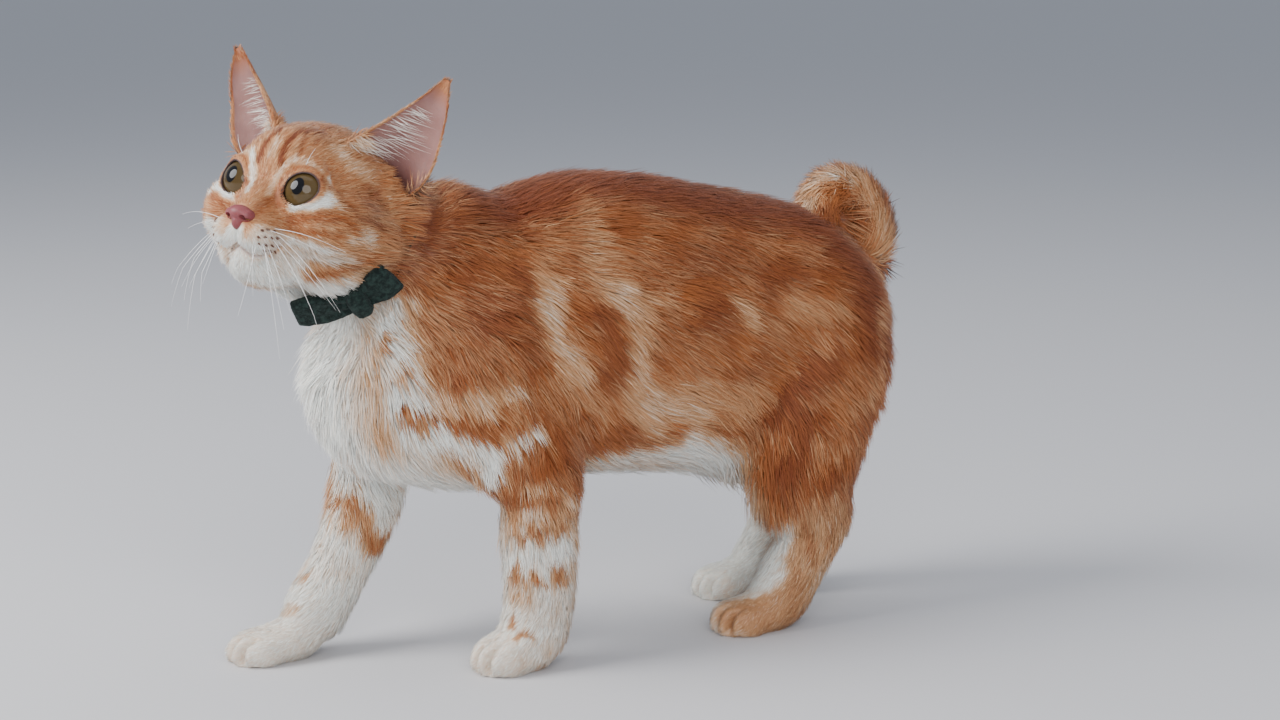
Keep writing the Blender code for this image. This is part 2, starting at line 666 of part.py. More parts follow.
def bow_knot(group):
    out = Vector(BOW_ARMS["left"]).normalized()
    out = (out - Vector(BOW_ARMS["right"]).normalized()).normalized()
    high = Vector(BOW_AXIS)
    high = (high - out * high.dot(out)).normalized()
    deep = out.cross(high)
    bm = bmesh.new()
    bmesh.ops.create_uvsphere(bm, u_segments=12, v_segments=8, radius=1.0)
    for vertex in bm.verts:
        vertex.co = Vector([math.copysign(abs(c) ** 0.8, c) for c in vertex.co])
    place = Matrix((out, deep, high)).transposed().to_4x4() @ Matrix.Diagonal((*KNOT_RADII, 1))
    place = Matrix.Scale(MM, 4) @ Matrix.Translation(Vector(BOW_KNOT)) @ place
    bmesh.ops.transform(bm, matrix=place, verts=bm.verts)
    return add_object("bow_knot", bm, group)


def finish_node(obj, name, look, group):
    """Names the solid, gives it its material and moves it to the part's collection."""
    largest_body(obj)
    obj.name = name
    obj.data.name = name
    obj.data.materials.clear()
    obj.data.materials.append(look)
    obj.data.shade_smooth()
    obj.data.set_sharp_from_angle(angle=math.radians(50))
    for old in list(obj.users_collection):
        old.objects.unlink(obj)
    group.objects.link(obj)
    return obj


def bow_pieces(nodes, group):
    """The knot and its two loops, each clear of the next, pressed into the coat and the collar."""
    cloth = material("bow_cloth", BOW_GREEN, 0.9)
    knot = bow_knot(group)
    rooms = [grown(knot, "knot_room", GAP, group)]
    for side, direction in BOW_ARMS.items():
        arm = bow_arm("bow_" + side, direction, BOW_LENGTH[side], group)
        carve(arm, "DIFFERENCE", rooms[0])
        rooms.append(grown(arm, "arm_room", GAP, group))
        nodes["bow_" + side] = (arm, cloth)
    for name in ("head", "neck", "torso", "collar"):
        for room in rooms:
            carve(nodes[name][0], "DIFFERENCE", room)
    nodes["bow_knot"] = (knot, cloth)


def stand_at_origin(group):
    """Moves every solid so that the origin is under the middle of the whole, on the floor."""
    corners = [obj.matrix_world @ Vector(c) for obj in group.objects for c in obj.bound_box]
    middle = [(min(c[i] for c in corners) + max(c[i] for c in corners)) / 2 for i in (0, 1)]
    for obj in group.objects:
        obj.data.transform(Matrix.Translation((-middle[0], -middle[1], 0)))
    print("moved by", [round(-m, 5) for m in middle])


def collar_band(body, nodes, group):
    """A band between two skins of the neck, and the groove that it sits in."""
    band = slab("band", COLLAR_CENTRE, COLLAR_FACING, COLLAR_WIDTH, group, COLLAR_REACH)
    carve(band, "INTERSECT", grown(body, "proud", COLLAR_PROUD, group))
    carve(band, "DIFFERENCE", grown(body, "core", COLLAR_PROUD - COLLAR_THICK, group))
    nodes["collar"] = (largest_body(band), material("collar_cloth", COLLAR_GREEN, 0.9))
    groove_room = slab("room", COLLAR_CENTRE, COLLAR_FACING, COLLAR_WIDTH + 2 * GAP, group, COLLAR_REACH + 20)
    inner = grown(body, "inner", COLLAR_PROUD - COLLAR_THICK - GAP, group)
    return carve(groove_room, "DIFFERENCE", inner)


def legs_and_paws(body, trunk, nodes, group):
    """Each leg is the part of the body inside its limb-shaped cut, and each paw the low end of it."""
    for name, stations in PARTINGS.items():
        inside = limb("in_" + name, stations, group, 16, 3)
        around = grown(inside, "out_" + name, GAP, group)
        leg = carve(copy_of(body, "leg_" + name, group), "INTERSECT", inside)
        carve(trunk, "DIFFERENCE", around)
        paw = copy_of(leg, "paw_" + name, group)
        low = half_space("low", (0, 0, PAW_TOP), (0, 0, 1), group)
        high = half_space("high", (0, 0, PAW_TOP + GAP), (0, 0, -1), group)
        carve(paw, "INTERSECT", low)
        carve(leg, "INTERSECT", high)
        look = material("coat_red", RED) if "hind" in name else material("coat_cream", CREAM)
        nodes[name.replace("_", "leg_")] = (leg, look)
        nodes[name.replace("_", "paw_")] = (paw, material("coat_cream", CREAM))


def head_and_neck(trunk, collar_room, nodes, group):
    """The trunk is parted at the collar and again in front of the shoulders."""
    collar_facing = Vector(COLLAR_FACING).normalized()
    neck_facing = Vector(NECK_FACING).normalized()
    head, neck = copy_of(trunk, "head", group), copy_of(trunk, "neck", group)
    for obj, point, facing in ((head, COLLAR_CENTRE, -collar_facing), (neck, COLLAR_CENTRE, collar_facing),
                               (neck, NECK_BASE, -neck_facing), (trunk, NECK_BASE, neck_facing)):
        carve(obj, "INTERSECT", half_space("side", Vector(point) - facing * GAP / 2, facing, group))
    for obj in (head, neck):
        carve(obj, "DIFFERENCE", collar_room)
        largest_body(obj)
    for name, obj in (("head", head), ("neck", neck), ("torso", trunk)):
        nodes[name] = (obj, material("coat_red", RED))
    return head


def face(head, outside, nodes, group):
    """Mouth, nose, eyes in their lids, and ears."""
    for cutter in mouth_cutters(head, group):
        carve(head, "DIFFERENCE", cutter)
    nose = nose_leather(group)
    carve(head, "DIFFERENCE", grown(nose, "nose_room", GAP, group))
    nodes["nose"] = (nose, material("nose_leather", NOSE_PINK, 0.5))
    for side, label in ((1, "left"), (-1, "right")):
        eye = eyeball("eye_" + label, side, group)
        nodes["eye_" + label] = (eye, material("eye", IRIS_GOLD, 0.1))
        socket = ellipsoid("socket", eye_centre(side), (EYE_RADIUS + GAP,) * 3, group, head_space(), 3)
        carve(head, "DIFFERENCE", eye_opening("opening", side, group))
        carve(head, "DIFFERENCE", socket)
        flap = carve(ear("ear_" + label, side, group), "DIFFERENCE", outside)
        nodes["ear_" + label] = (flap, material("ear", EAR_PINK))


def main():
    clear_scene()
    cat = collection("american_bobtail_cat")
    work = collection("construction")
    nodes = {}
    body = whole_body(work)
    outside = grown(body, "outside", GAP, work)
    trunk = copy_of(body, "trunk", work)
    collar_room = collar_band(body, nodes, work)
    legs_and_paws(body, trunk, nodes, work)
    head = head_and_neck(trunk, collar_room, nodes, work)
    face(head, outside, nodes, work)
    nodes["tail"] = (carve(bob_tail(work), "DIFFERENCE", outside), material("coat_red", RED))
    bow_pieces(nodes, work)
    for name, (obj, look) in nodes.items():
        finish_node(obj, name, look, cat)
    stand_at_origin(cat)
    remove(list(work.objects))


main()
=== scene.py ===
import math
from contextlib import contextmanager
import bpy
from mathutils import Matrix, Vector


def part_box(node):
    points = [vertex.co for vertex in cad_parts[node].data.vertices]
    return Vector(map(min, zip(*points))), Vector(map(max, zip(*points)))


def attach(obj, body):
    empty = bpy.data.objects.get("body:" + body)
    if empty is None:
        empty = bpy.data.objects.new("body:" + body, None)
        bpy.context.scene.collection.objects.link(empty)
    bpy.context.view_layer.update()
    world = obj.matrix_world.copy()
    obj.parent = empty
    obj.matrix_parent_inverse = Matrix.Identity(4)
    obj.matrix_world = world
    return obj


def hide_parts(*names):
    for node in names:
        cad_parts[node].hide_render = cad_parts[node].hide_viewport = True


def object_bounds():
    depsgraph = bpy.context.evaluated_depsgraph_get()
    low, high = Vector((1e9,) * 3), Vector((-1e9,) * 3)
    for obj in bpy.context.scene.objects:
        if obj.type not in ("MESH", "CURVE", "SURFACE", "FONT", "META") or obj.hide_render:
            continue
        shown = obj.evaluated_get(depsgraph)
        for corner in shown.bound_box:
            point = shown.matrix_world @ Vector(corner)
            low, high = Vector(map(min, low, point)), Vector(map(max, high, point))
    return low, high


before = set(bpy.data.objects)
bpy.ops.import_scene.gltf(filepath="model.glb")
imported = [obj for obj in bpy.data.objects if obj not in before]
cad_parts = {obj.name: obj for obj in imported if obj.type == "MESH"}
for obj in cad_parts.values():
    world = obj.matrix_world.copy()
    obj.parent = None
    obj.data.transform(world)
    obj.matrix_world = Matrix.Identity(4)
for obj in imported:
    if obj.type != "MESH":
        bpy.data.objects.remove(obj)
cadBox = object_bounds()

from types import SimpleNamespace

import bmesh
import bpy
import numpy as np
from mathutils import Matrix, Vector
from mathutils.bvhtree import BVHTree
from mathutils.kdtree import KDTree


# Sums on rows of points
def unit(rows):
    rows = np.asarray(rows, float)
    return rows / np.maximum(np.linalg.norm(rows, axis=-1, keepdims=True), 1e-9)


def flatten(rows, normals):  # rows laid into the surface that the normals stand on
    return rows - normals * (rows * normals).sum(1, keepdims=True)


def away(points, place):  # distance of each point from one place
    return np.linalg.norm(points - np.array(place), axis=1)


def bell(distance, wide):  # 1 at no distance, about a third at this width
    return np.exp(-(distance / wide) ** 2)


def ramp(values, low, high):
    return np.clip((values - low) / (high - low), 0, 1)


def power(values, exponent):  # keeps the sign
    return np.sign(values) * np.abs(values) ** exponent


def turns(count):  # angles once round
    return np.linspace(0, 2 * math.pi, count, endpoint=False)


def folded(points):  # both sides of the body laid on one
    return np.stack([points[:, 0], np.abs(points[:, 1]), points[:, 2]], 1)


def smoothPath(points, count):  # Catmull-Rom through rows of numbers
    p = np.array(points, float)
    p = np.vstack([2 * p[0] - p[1], p, 2 * p[-1] - p[-2]])
    rows = []
    for s in np.linspace(0, len(points) - 1, count):
        i = min(int(s), len(points) - 2)
        t = s - i
        a, b, c, d = p[i:i + 4]
        rows.append(0.5 * (2 * b + (c - a) * t + (2 * a - 5 * b + 4 * c - d) * t ** 2
                           + (3 * b - a - 3 * c + d) * t ** 3))
    return np.array(rows)


def wander(points, size, seed, octaves=3):  # smooth noise about -1 to 1 at each point
    draw = np.random.default_rng(seed)
    total = np.zeros(len(points))
    for k in range(octaves):
        for _ in range(4):
            wave = draw.normal(size=3) / size * 2.2 * 2 ** k
            total += np.sin(points @ wave + draw.uniform(0, 6.28)) / 2 ** k
    return total / 4


def toLine(points, line):  # distance to a line of straight pieces, and the share along it
    line = np.atleast_2d(line)
    if len(line) == 1:
        return away(points, line[0]), np.zeros(len(points))
    best, share = np.full(len(points), 1e9), np.zeros(len(points))
    for k, (a, b) in enumerate(zip(line, line[1:])):
        ab = b - a
        t = np.clip((points - a) @ ab / max(ab @ ab, 1e-9), 0, 1)
        d = np.linalg.norm(points - a - t[:, None] * ab, axis=1)
        nearer = d < best
        best = np.where(nearer, d, best)
        share = np.where(nearer, (k + t) / (len(line) - 1), share)
    return best, share


# Frames. Sizes are in millimetres in the cat's own frame: head to -X, its left side to -Y, paws on Z = 0.
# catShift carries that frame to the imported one, found from where the eyes were packed.
mm = 0.001
head = {"centre": (-172.3, -6.3, 223.5), "yaw": 32.0, "pitch": 9.6, "roll": -6.0, "reach": 75}
eye = {"front": (29.4, 19.1, 9.4), "turn": (12.0, 4.0), "radius": 10.3, "lid": 1.5, "half": 8.2, "upper": 8.2,
       "lower": 6.7, "slant": 0.20, "flare": 1.25, "play": 0.05}


def headAxesOf(pose):
    yaw, pitch, roll = (math.radians(pose[k]) for k in ("yaw", "pitch", "roll"))
    fore = Vector((-math.cos(yaw), -math.sin(yaw), 0))
    left = Vector((math.sin(yaw), -math.cos(yaw), 0))
    up = Vector((0, 0, 1))
    nose = fore * math.cos(pitch) + up * math.sin(pitch)
    crown = up * math.cos(pitch) - fore * math.sin(pitch)
    side = left * math.cos(roll) + crown * math.sin(roll)
    top = crown * math.cos(roll) - left * math.sin(roll)
    return np.array((nose, side, top)).T


headAxes = headAxesOf(head)
headCentre = np.array(head["centre"])


def fromHead(points):  # forward, left, up on the head, to the cat's frame
    return np.asarray(points, float) @ headAxes.T + headCentre


def toHead(points):
    return (np.asarray(points, float) - headCentre) @ headAxes


def eyeFrame(side, turn):  # across, up and ahead on an eye turned so many degrees outwards and up
    out, high = (math.radians(a) for a in turn)
    axis = np.array((math.cos(out) * math.cos(high), side * math.sin(out) * math.cos(high), math.sin(high)))
    across = unit(np.array((-axis[1], axis[0], 0))) * side
    return across, np.cross(axis, across) * side, axis


def eyeCentre(side):
    f, l, u = eye["front"]
    return np.array((f, side * l, u)) - eyeFrame(side, eye["turn"])[2] * eye["radius"]


def packedMiddle(node):
    low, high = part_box(node)
    return np.array((low + high) / 2) / mm


catShift = (packedMiddle("eye_left") + packedMiddle("eye_right")
            - fromHead(eyeCentre(1)) - fromHead(eyeCentre(-1))) / 2
print("cat frame to packed frame, mm:", np.round(catShift, 2))


def toRow(points):  # the cat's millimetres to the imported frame's metres
    return (np.asarray(points, float) + catShift) * mm


def toCat(points):
    return np.asarray(points, float) / mm - catShift


# Camera; place, turn and focal length were solved from the floor boards in the photograph
camera = {"place": (-605.0, -1068.9, 344.0), "azimuth": 30.0, "horizon": 417.0, "focal": 2489.0,
          "picture": (1280, 720), "sensor": 36.0, "nearest": 0.05}


def cameraAxes():
    a, d = math.radians(camera["azimuth"]), math.atan(camera["horizon"] / camera["focal"])
    right = np.array((math.cos(a), -math.sin(a), 0))
    ahead = np.array((math.sin(a) * math.cos(d), math.cos(a) * math.cos(d), -math.sin(d)))
    return right, np.cross(right, ahead), ahead


def setCamera():
    right, up, ahead = cameraAxes()
    data = bpy.data.cameras.new("camera")
    data.sensor_width = camera["sensor"]
    data.lens = camera["focal"] / camera["picture"][0] * camera["sensor"]
    data.clip_start = camera["nearest"]
    placed = addObject("camera", data)
    turn = Matrix((right, up, -ahead)).transposed().to_4x4()
    placed.matrix_world = Matrix.Translation(toRow(camera["place"])) @ turn
    bpy.context.scene.camera = placed


def photoRay(pixel):  # from the lens through a pixel of the photograph
    right, up, ahead = cameraAxes()
    wide, tall = camera["picture"]
    x = (pixel[0] - wide / 2) / camera["focal"]
    y = (tall / 2 - pixel[1]) / camera["focal"]
    return ahead + right * x + up * y


# Mesh helpers
def addObject(name, data):
    obj = bpy.data.objects.new(name, data)
    bpy.context.scene.collection.objects.link(obj)
    return obj


@contextmanager
def edited(mesh):  # the mesh as a bmesh, written back at the end
    bm = bmesh.new()
    bm.from_mesh(mesh)
    yield bm
    bm.to_mesh(mesh)
    bm.free()


def meshFrom(name, rows, *groups):  # rows in the cat's frame; each group of faces is of one size
    mesh = bpy.data.meshes.new(name)
    corners = np.concatenate([g.ravel() for g in groups])
    sizes = np.concatenate([np.full(len(g), g.shape[1], np.int32) for g in groups])
    mesh.vertices.add(len(rows))
    mesh.vertices.foreach_set("co", toRow(rows).astype(np.float32).ravel())
    mesh.loops.add(len(corners))
    mesh.loops.foreach_set("vertex_index", corners.astype(np.int32))
    mesh.polygons.add(len(sizes))
    mesh.polygons.foreach_set("loop_start", np.concatenate([[0], np.cumsum(sizes)[:-1]]).astype(np.int32))
    mesh.update(calc_edges=True)
    return addObject(name, mesh)


def readRows(items, key, each=3, kind=np.float32):
    rows = np.empty(len(items) * each, kind)
    items.foreach_get(key, rows)
    return rows.reshape(-1, each)


def pointsOf(obj):
    return toCat(readRows(obj.data.vertices, "co"))


def normalsOf(obj):
    return readRows(obj.data.vertex_normals, "vector").astype(float)


def setPoints(obj, rows):
    obj.data.vertices.foreach_set("co", toRow(rows).astype(np.float32).ravel())
    obj.data.update()


def pushOut(obj, push):  # each point along its normal
    setPoints(obj, pointsOf(obj) + normalsOf(obj) * push[:, None])


def fixed(obj):  # its modifiers made part of its mesh
    made = bpy.data.meshes.new_from_object(obj.evaluated_get(bpy.context.evaluated_depsgraph_get()))
    obj.modifiers.clear()
    obj.data = made
    return obj


def modify(obj, kind, **settings):
    modifier = obj.modifiers.new(kind.title(), kind)
    for key, value in settings.items():
        setattr(modifier, key, value)
    return fixed(obj)


def removeAll(objects):
    for obj in objects:
        bpy.data.objects.remove(obj, do_unlink=True)


def joined(name, objects):
    mesh = bpy.data.meshes.new(name)
    with edited(mesh) as bm:
        for obj in objects:
            bm.from_mesh(obj.data)
    removeAll(objects)
    return addObject(name, mesh)


def carve(obj, other, operation="DIFFERENCE"):
    modify(obj, "BOOLEAN", operation=operation, object=other, solver="MANIFOLD")
    removeAll([other])


def surfaceOf(obj):
    return BVHTree.FromObject(obj, bpy.context.evaluated_depsgraph_get())


def nearestOf(rows):
    tree = KDTree(len(rows))
    for k, row in enumerate(rows):
        tree.insert(row, k)
    tree.balance()
    return tree


def facingOut(obj):
    with edited(obj.data) as bm:
        bmesh.ops.recalc_face_normals(bm, faces=bm.faces)
    return obj


def ball(name, centre, radii, pitch=0.0, detail=4, onHead=True):  # an icosphere, stretched and turned
    bm = bmesh.new()
    bmesh.ops.create_icosphere(bm, subdivisions=detail, radius=1.0)
    turn = Matrix.Rotation(math.radians(-pitch), 3, "Y")
    rows = np.array([turn @ (v.co * Vector(radii)) + Vector(centre) for v in bm.verts])
    faces = np.array([[v.index for v in f.verts] for f in bm.faces])
    bm.free()
    return meshFrom(name, fromHead(rows) if onHead else rows, faces)


def tube(name, rings):  # a closed skin through rings of points, each end closed to its middle
    rings = np.asarray(rings, float)
    n, k = rings.shape[:2]
    rows = np.vstack([rings.reshape(-1, 3), rings[0].mean(0), rings[-1].mean(0)])
    i, j = np.meshgrid(np.arange(n - 1), np.arange(k), indexing="ij")
    a, b = (i * k + j).ravel(), (i * k + (j + 1) % k).ravel()
    quads = np.stack([a, b, b + k, a + k], 1)
    j = np.arange(k)
    first = np.stack([(j + 1) % k, j, np.full(k, n * k)], 1)
    last = np.stack([(n - 1) * k + j, (n - 1) * k + (j + 1) % k, np.full(k, n * k + 1)], 1)
    return facingOut(meshFrom(name, rows, quads, np.vstack([first, last])))


def limb(name, stations, around=20, perStation=5):  # stations: x, y, z and the half width fore and across
    path = smoothPath(stations, perStation * (len(stations) - 1) + 1)
    last = len(path) - 1
    a = turns(around)[:, None]
    rings = []
    for i, row in enumerate(path):
        along = unit(path[min(i + 1, last)][:3] - path[max(i - 1, 0)][:3])
        across = np.array((0, 1.0, 0))
        across = unit(across - along * (across @ along))
        fore = np.cross(across, along)
        end = min(i, last - i)
        tuck = (0.55, 0.86)[end] if end < 2 else 1.0
        rings.append(row[:3] + (fore * np.cos(a) * row[3] + across * np.sin(a) * row[4]) * tuck)
    return tube(name, rings)


# The body's outline, out to the tips of the coat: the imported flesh, with the head's masses made finer
fleshNodes = (
    "torso", "neck", "collar", "foreleg_left", "foreleg_right", "forepaw_left", "forepaw_right",
    "hindleg_left", "hindleg_right", "hindpaw_left", "hindpaw_right"
)
neckPath = (  # x, y, z, half width fore and across
    (-78, 0, 177, 48, 42), (-106, 0, 193, 43, 38), (-132, -2, 202, 37, 35), (-150, 0, 211, 34, 34),
    (-162, -2, 217, 28, 30)
)
tailPath = (
    (128, 0, 168, 19, 18), (142, 0, 184, 17.5, 17), (147, 0, 199, 16, 16), (142, 0, 211, 15, 15.5),
    (131, -1, 216, 14.5, 15), (121, -3, 213, 14, 14), (116.5, -5, 204, 13, 13), (120, -6, 195, 10, 11)
)
skin = {"voxel": 1.6, "grow": 0.35, "smooth": 16, "bodySmooth": 22, "headReach": 55, "kept": 0.56,
        "lidFade": (1.0, 2.2), "lidLeast": 0.15, "floorFade": (0.4, 2.4),
        "tailCore": (0.84, 0.76, 0.62, 0.52, 0.5, 0.5, 0.5, 0.5), "curl": ((131, -3, 201), (7.5, 7.0, 7.5))}
headSingle = {  # centre, radii, pitch
    "cranium": ((-10, 0, 12), (35, 36, 30), 0), "forehead": ((6, 0, 16), (24, 26, 23), 0),
    "nape": ((-27, 0, 2), (25, 33, 29), 0), "face": ((10, 0, -6), (24, 27, 22), 0),
    "bridge": ((29, 0, 4), (18, 8.5, 7.5), -33), "muzzle": ((29, 0, -10), (16.5, 15, 12.5), 0),
    "chin": ((31, 0, -25), (9.5, 9.5, 8), -10), "jaw": ((14, 0, -25), (24, 16.5, 13.5), -8),
    "throat": ((-10, 0, -25), (26, 24, 17), 0), "fold": ((-8, 26, -8), (22, 20, 19), 0)
}
headPaired = {  # the same on both sides of the head
    "earRoot": ((-18, 28, 17), (11, 11, 12), 0), "earBase": ((-25, 38, 4), (11, 10, 13), 0),
    "cheek": ((3, 24, -5), (26, 19.5, 20.5), 0), "jowl": ((-5, 18.5, -21), (26, 19, 17), 0),
    "brow": ((16, 15.5, 15), (11, 12, 8.5), 20), "pad": ((35.5, 7.2, -13.2), (10.5, 9.8, 8.8), 0),
    "lid": (tuple(eyeCentre(1)), (eye["radius"] + eye["lid"],) * 3, 0)
}


def packedCopy(node):
    obj = addObject("copy_" + node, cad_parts[node].data.copy())
    with edited(obj.data) as bm:
        bmesh.ops.remove_doubles(bm, verts=bm.verts, dist=1e-6)
        bm.normal_update()
        for v in bm.verts:
            v.co += v.normal * skin["grow"] * mm
    return obj


def outerBody():
    forms = [packedCopy(node) for node in fleshNodes]
    forms.append(limb("form_neck", neckPath))
    forms += [ball("form_" + name, *form) for name, form in headSingle.items()]
    for name, ((f, l, u), radii, pitch) in headPaired.items():
        forms += [ball("form_" + name, (f, l * side, u), radii, pitch) for side in (1, -1)]
    body = joined("skin", forms)
    modify(body, "REMESH", mode="VOXEL", voxel_size=skin["voxel"] * mm)
    modify(body, "SMOOTH", factor=0.5, iterations=skin["smooth"])
    trunk = body.vertex_groups.new(name="trunk")
    beyond = np.nonzero(away(pointsOf(body), headCentre) > skin["headReach"])[0]
    trunk.add([int(i) for i in beyond], 1.0, "REPLACE")
    modify(body, "SMOOTH", factor=0.5, iterations=skin["bodySmooth"], vertex_group="trunk")
    body.vertex_groups.clear()
    return body


# The coat: at each place which way it lies, how long the hair is and how high its tips stand
def pair(x, y, z, lie, length, depth):
    return [((x, y, z), lie, length, depth), ((x, -y, z), (lie[0], -lie[1], lie[2]), length, depth)]


trunkCoat = [
    ((-60, 0, 233), (1, 0, -0.05), 15, 4.5), ((20, 0, 233), (1, 0, -0.05), 15, 4.5),
    ((90, 0, 218), (0.95, 0, -0.28), 16, 5), ((140, 0, 190), (0.72, 0, -0.7), 18, 6),
    ((152, 0, 155), (0.3, 0, -0.95), 20, 6), ((-100, 0, 228), (0.98, 0, 0.1), 16, 5),
    ((-163, 0, 150), (0, 0, -1), 20, 8), ((-158, 0, 118), (0.3, 0, -1), 18, 7.5),
    ((-120, 0, 88), (0.8, 0, -0.6), 17, 7), ((-60, 0, 84), (0.9, 0, -0.45), 16, 6.5),
    ((20, 0, 80), (0.85, 0, -0.5), 18, 7), ((90, 0, 88), (0.8, 0, -0.6), 19, 7.5),
    *pair(0, 42, 205, (0.96, 0, -0.28), 16, 5), *pair(80, 42, 190, (0.88, 0, -0.47), 17, 5.5),
    *pair(-50, 49, 160, (0.78, 0, -0.62), 17, 5.5), *pair(0, 50, 150, (0.86, 0, -0.5), 18, 6),
    *pair(60, 49, 150, (0.84, 0, -0.54), 18, 6), *pair(10, 40, 100, (0.85, 0.1, -0.5), 17, 6.5),
    *pair(-88, 46, 175, (0.6, 0, -0.8), 15, 5), *pair(-100, 46, 140, (0.4, 0, -0.92), 14, 5),
    *pair(-112, 38, 200, (0.78, 0, -0.62), 16, 5.5), *pair(-140, 34, 175, (0.35, 0.1, -0.94), 18, 7),
    *pair(-150, 25, 130, (0.15, 0.25, -0.95), 18, 7.5), *pair(-125, 25, 98, (0.5, 0.2, -0.85), 16, 6.5),
    *pair(128, 42, 175, (0.6, 0, -0.8), 18, 6), *pair(105, 51, 150, (0.5, 0, -0.87), 17, 5.5),
    *pair(85, 48, 115, (0.5, 0, -0.87), 16, 5.5), *pair(128, 45, 125, (0.4, 0, -0.92), 17, 5.5),
    *pair(100, 14, 112, (0.3, 0, -0.95), 12, 4.5), *pair(72, 34, 92, (0.25, 0, -1), 24, 7.5),
    *pair(55, 22, 80, (0.4, 0, -0.9), 23, 8), *pair(145, 20, 130, (0.25, 0, -0.97), 18, 6)
]
legPaths = {  # down the middle of each leg to the toes
    "foreLeft": ((-80, -40, 118), (-67, -40, 75), (-66.5, -40, 52), (-68, -39, 22), (-88, -39, 13),
        (-98, -39, 7)),
    "foreRight": ((-114, 38, 118), (-124, 37, 72), (-134, 36, 48), (-150, 36, 24), (-178, 35, 12),
        (-191, 35, 6)),
    "hindLeft": ((90, -38, 98), (94, -37, 65), (95, -36, 48), (80, -35, 25), (58, -36.5, 13),
        (42, -36.5, 6)),
    "hindRight": ((112, 37, 98), (121, 35, 65), (124, 33, 46), (110, 31, 26), (84, 29, 13), (70, 28.5, 6))
}
legCoat = (  # length and depth at each of those places
    (14, 5.2), (11, 4.2), (9.5, 3.4), (6.5, 2.0), (3.2, 0.9), (2.2, 0.6)
)
headCoat = [  # place, length, depth; the hair lies away from the nose
    ((40, 0, 0), 2.6, 0.6), ((33, 0, 10), 3.2, 0.8), ((26, 0, 24), 4.5, 1.3), ((10, 0, 38), 6.5, 2.0),
    ((-15, 0, 42), 9, 3), ((-40, 0, 30), 12, 4.5), ((44, 8, -13), 2.6, 0.6), ((36, 18, -14), 3.6, 0.9),
    ((38, 0, -30), 4.5, 1.2), ((28, 14, -30), 6, 1.8), ((29, 27, -6), 4.2, 1.1), ((22, 33, -14), 6.5, 1.8),
    ((8, 38, -12), 8, 2.6), ((-8, 36, -24), 9, 3.6), ((5, 0, -42), 13, 5), ((10, 18, -38), 10, 3.6),
    ((-14, 34, 24), 7, 2), ((14, 30, 18), 5, 1.4), ((24, 20, 22), 4, 1.1), ((-5, 42, 5), 9, 3),
    ((-35, 30, 0), 13, 5), ((-25, 20, -38), 15, 6), ((-40, 0, 0), 14, 5.5)
]
blend = {"soft": 60, "fall": 1.8, "faceFrom": -22, "faceWide": 6, "faceSide": 70}  # between those places
noseTip = np.array((46.0, 0, -5.0))
backwards = np.array((-0.25, 0, 0))  # the head's hair leans back from the nose


def fromNose(places):  # the head's hair lies away from the nose; places and answer in the head's frame
    return unit(unit(places - noseTip) + backwards)


def coatSites():
    rows = [(p, unit(lie), length, depth) for p, lie, length, depth in trunkCoat]
    for path in legPaths.values():
        for i, p in enumerate(path):
            lie = np.array(path[min(i + 1, 5)], float) - np.array(path[max(i - 1, 0)], float)
            rows.append((p, unit(lie), *legCoat[i]))
    for (f, l, u), length, depth in headCoat:
        for side in ((1, -1) if l else (1,)):
            place = np.array((f, l * side, u), float)
            rows.append((fromHead(place), headAxes @ fromNose(place), length, depth))
    return np.array([r[0] for r in rows], float), np.array([[*r[1], r[2], r[3]] for r in rows], float)


coatPlaces, coatValues = coatSites()


def coatAt(points, normals):  # lie along the surface, length, depth
    total = np.zeros((len(points), 5))
    weight = np.zeros(len(points))
    for place, value in zip(coatPlaces, coatValues):
        w = 1 / (((points - place) ** 2).sum(1) + blend["soft"]) ** blend["fall"]
        total += w[:, None] * value
        weight += w
    total /= weight[:, None]
    h = toHead(points)
    radial = fromNose(h) @ headAxes.T
    onHead = 1 / (1 + np.exp((blend["faceFrom"] - h[:, 0]) / blend["faceWide"]))
    onHead *= (np.abs(h[:, 1]) < blend["faceSide"]) * isHead(points)
    lie = total[:, :3] * (1 - onHead[:, None]) + radial * onHead[:, None]
    return unit(flatten(lie, normals)), total[:, 3], total[:, 4]


def isHead(points):
    return away(points, headCentre) < head["reach"]


def lidFigure(points):  # 1 on the rim of the nearest eye's opening, in front of the eye only
    h = toHead(points)
    best = np.full(len(h), 9.0)
    for side in (1, -1):
        across, up, axis = eyeFrame(side, eye["turn"])
        d = h - eyeCentre(side)
        x, y = d @ across, d @ up - eye["slant"] * (d @ across)
        tall = np.where(y > 0, eye["upper"], eye["lower"])
        figure = np.sqrt((x / eye["half"]) ** 2 + (y / tall) ** 2)
        best = np.where(d @ axis > 0, np.minimum(best, figure), best)
    return best


def fineSkin(body):  # the outline drawn in by the coat's depth, and the tail's core joined to it
    points, normals = pointsOf(body), normalsOf(body)
    depth = coatAt(points, normals)[2]
    depth *= np.clip(ramp(lidFigure(points), *skin["lidFade"]), skin["lidLeast"], 1)
    depth += isWorn(points) * collar["groove"] * bell(inCollar(points) + 6, 6)
    setPoints(body, points - normals * (depth * ramp(points[:, 2], *skin["floorFade"]))[:, None])
    modify(body, "SMOOTH", factor=0.4, iterations=2)
    core = [(*row[:3], row[3] * share, row[4] * share) for row, share in zip(tailPath, skin["tailCore"])]
    carve(body, limb("core", core, 24, 8), "UNION")
    carve(body, ball("curl", *skin["curl"], detail=3, onHead=False), "UNION")  # closes the eye of the curl


# Toes: the paws' mesh made finer, and three grooves drawn over the front of each
paws = {  # x, y, half length, half width, height
    "fore_left": (-79, -39, 22, 16, 22), "fore_right": (-172, 35, 24, 16, 20),
    "hind_left": (60, -36.5, 25, 16.5, 21), "hind_right": (88, 28.5, 25, 16, 21)
}
toes = {"depth": 4.0, "width": 1.4, "bulge": 1.5, "apart": 0.58}


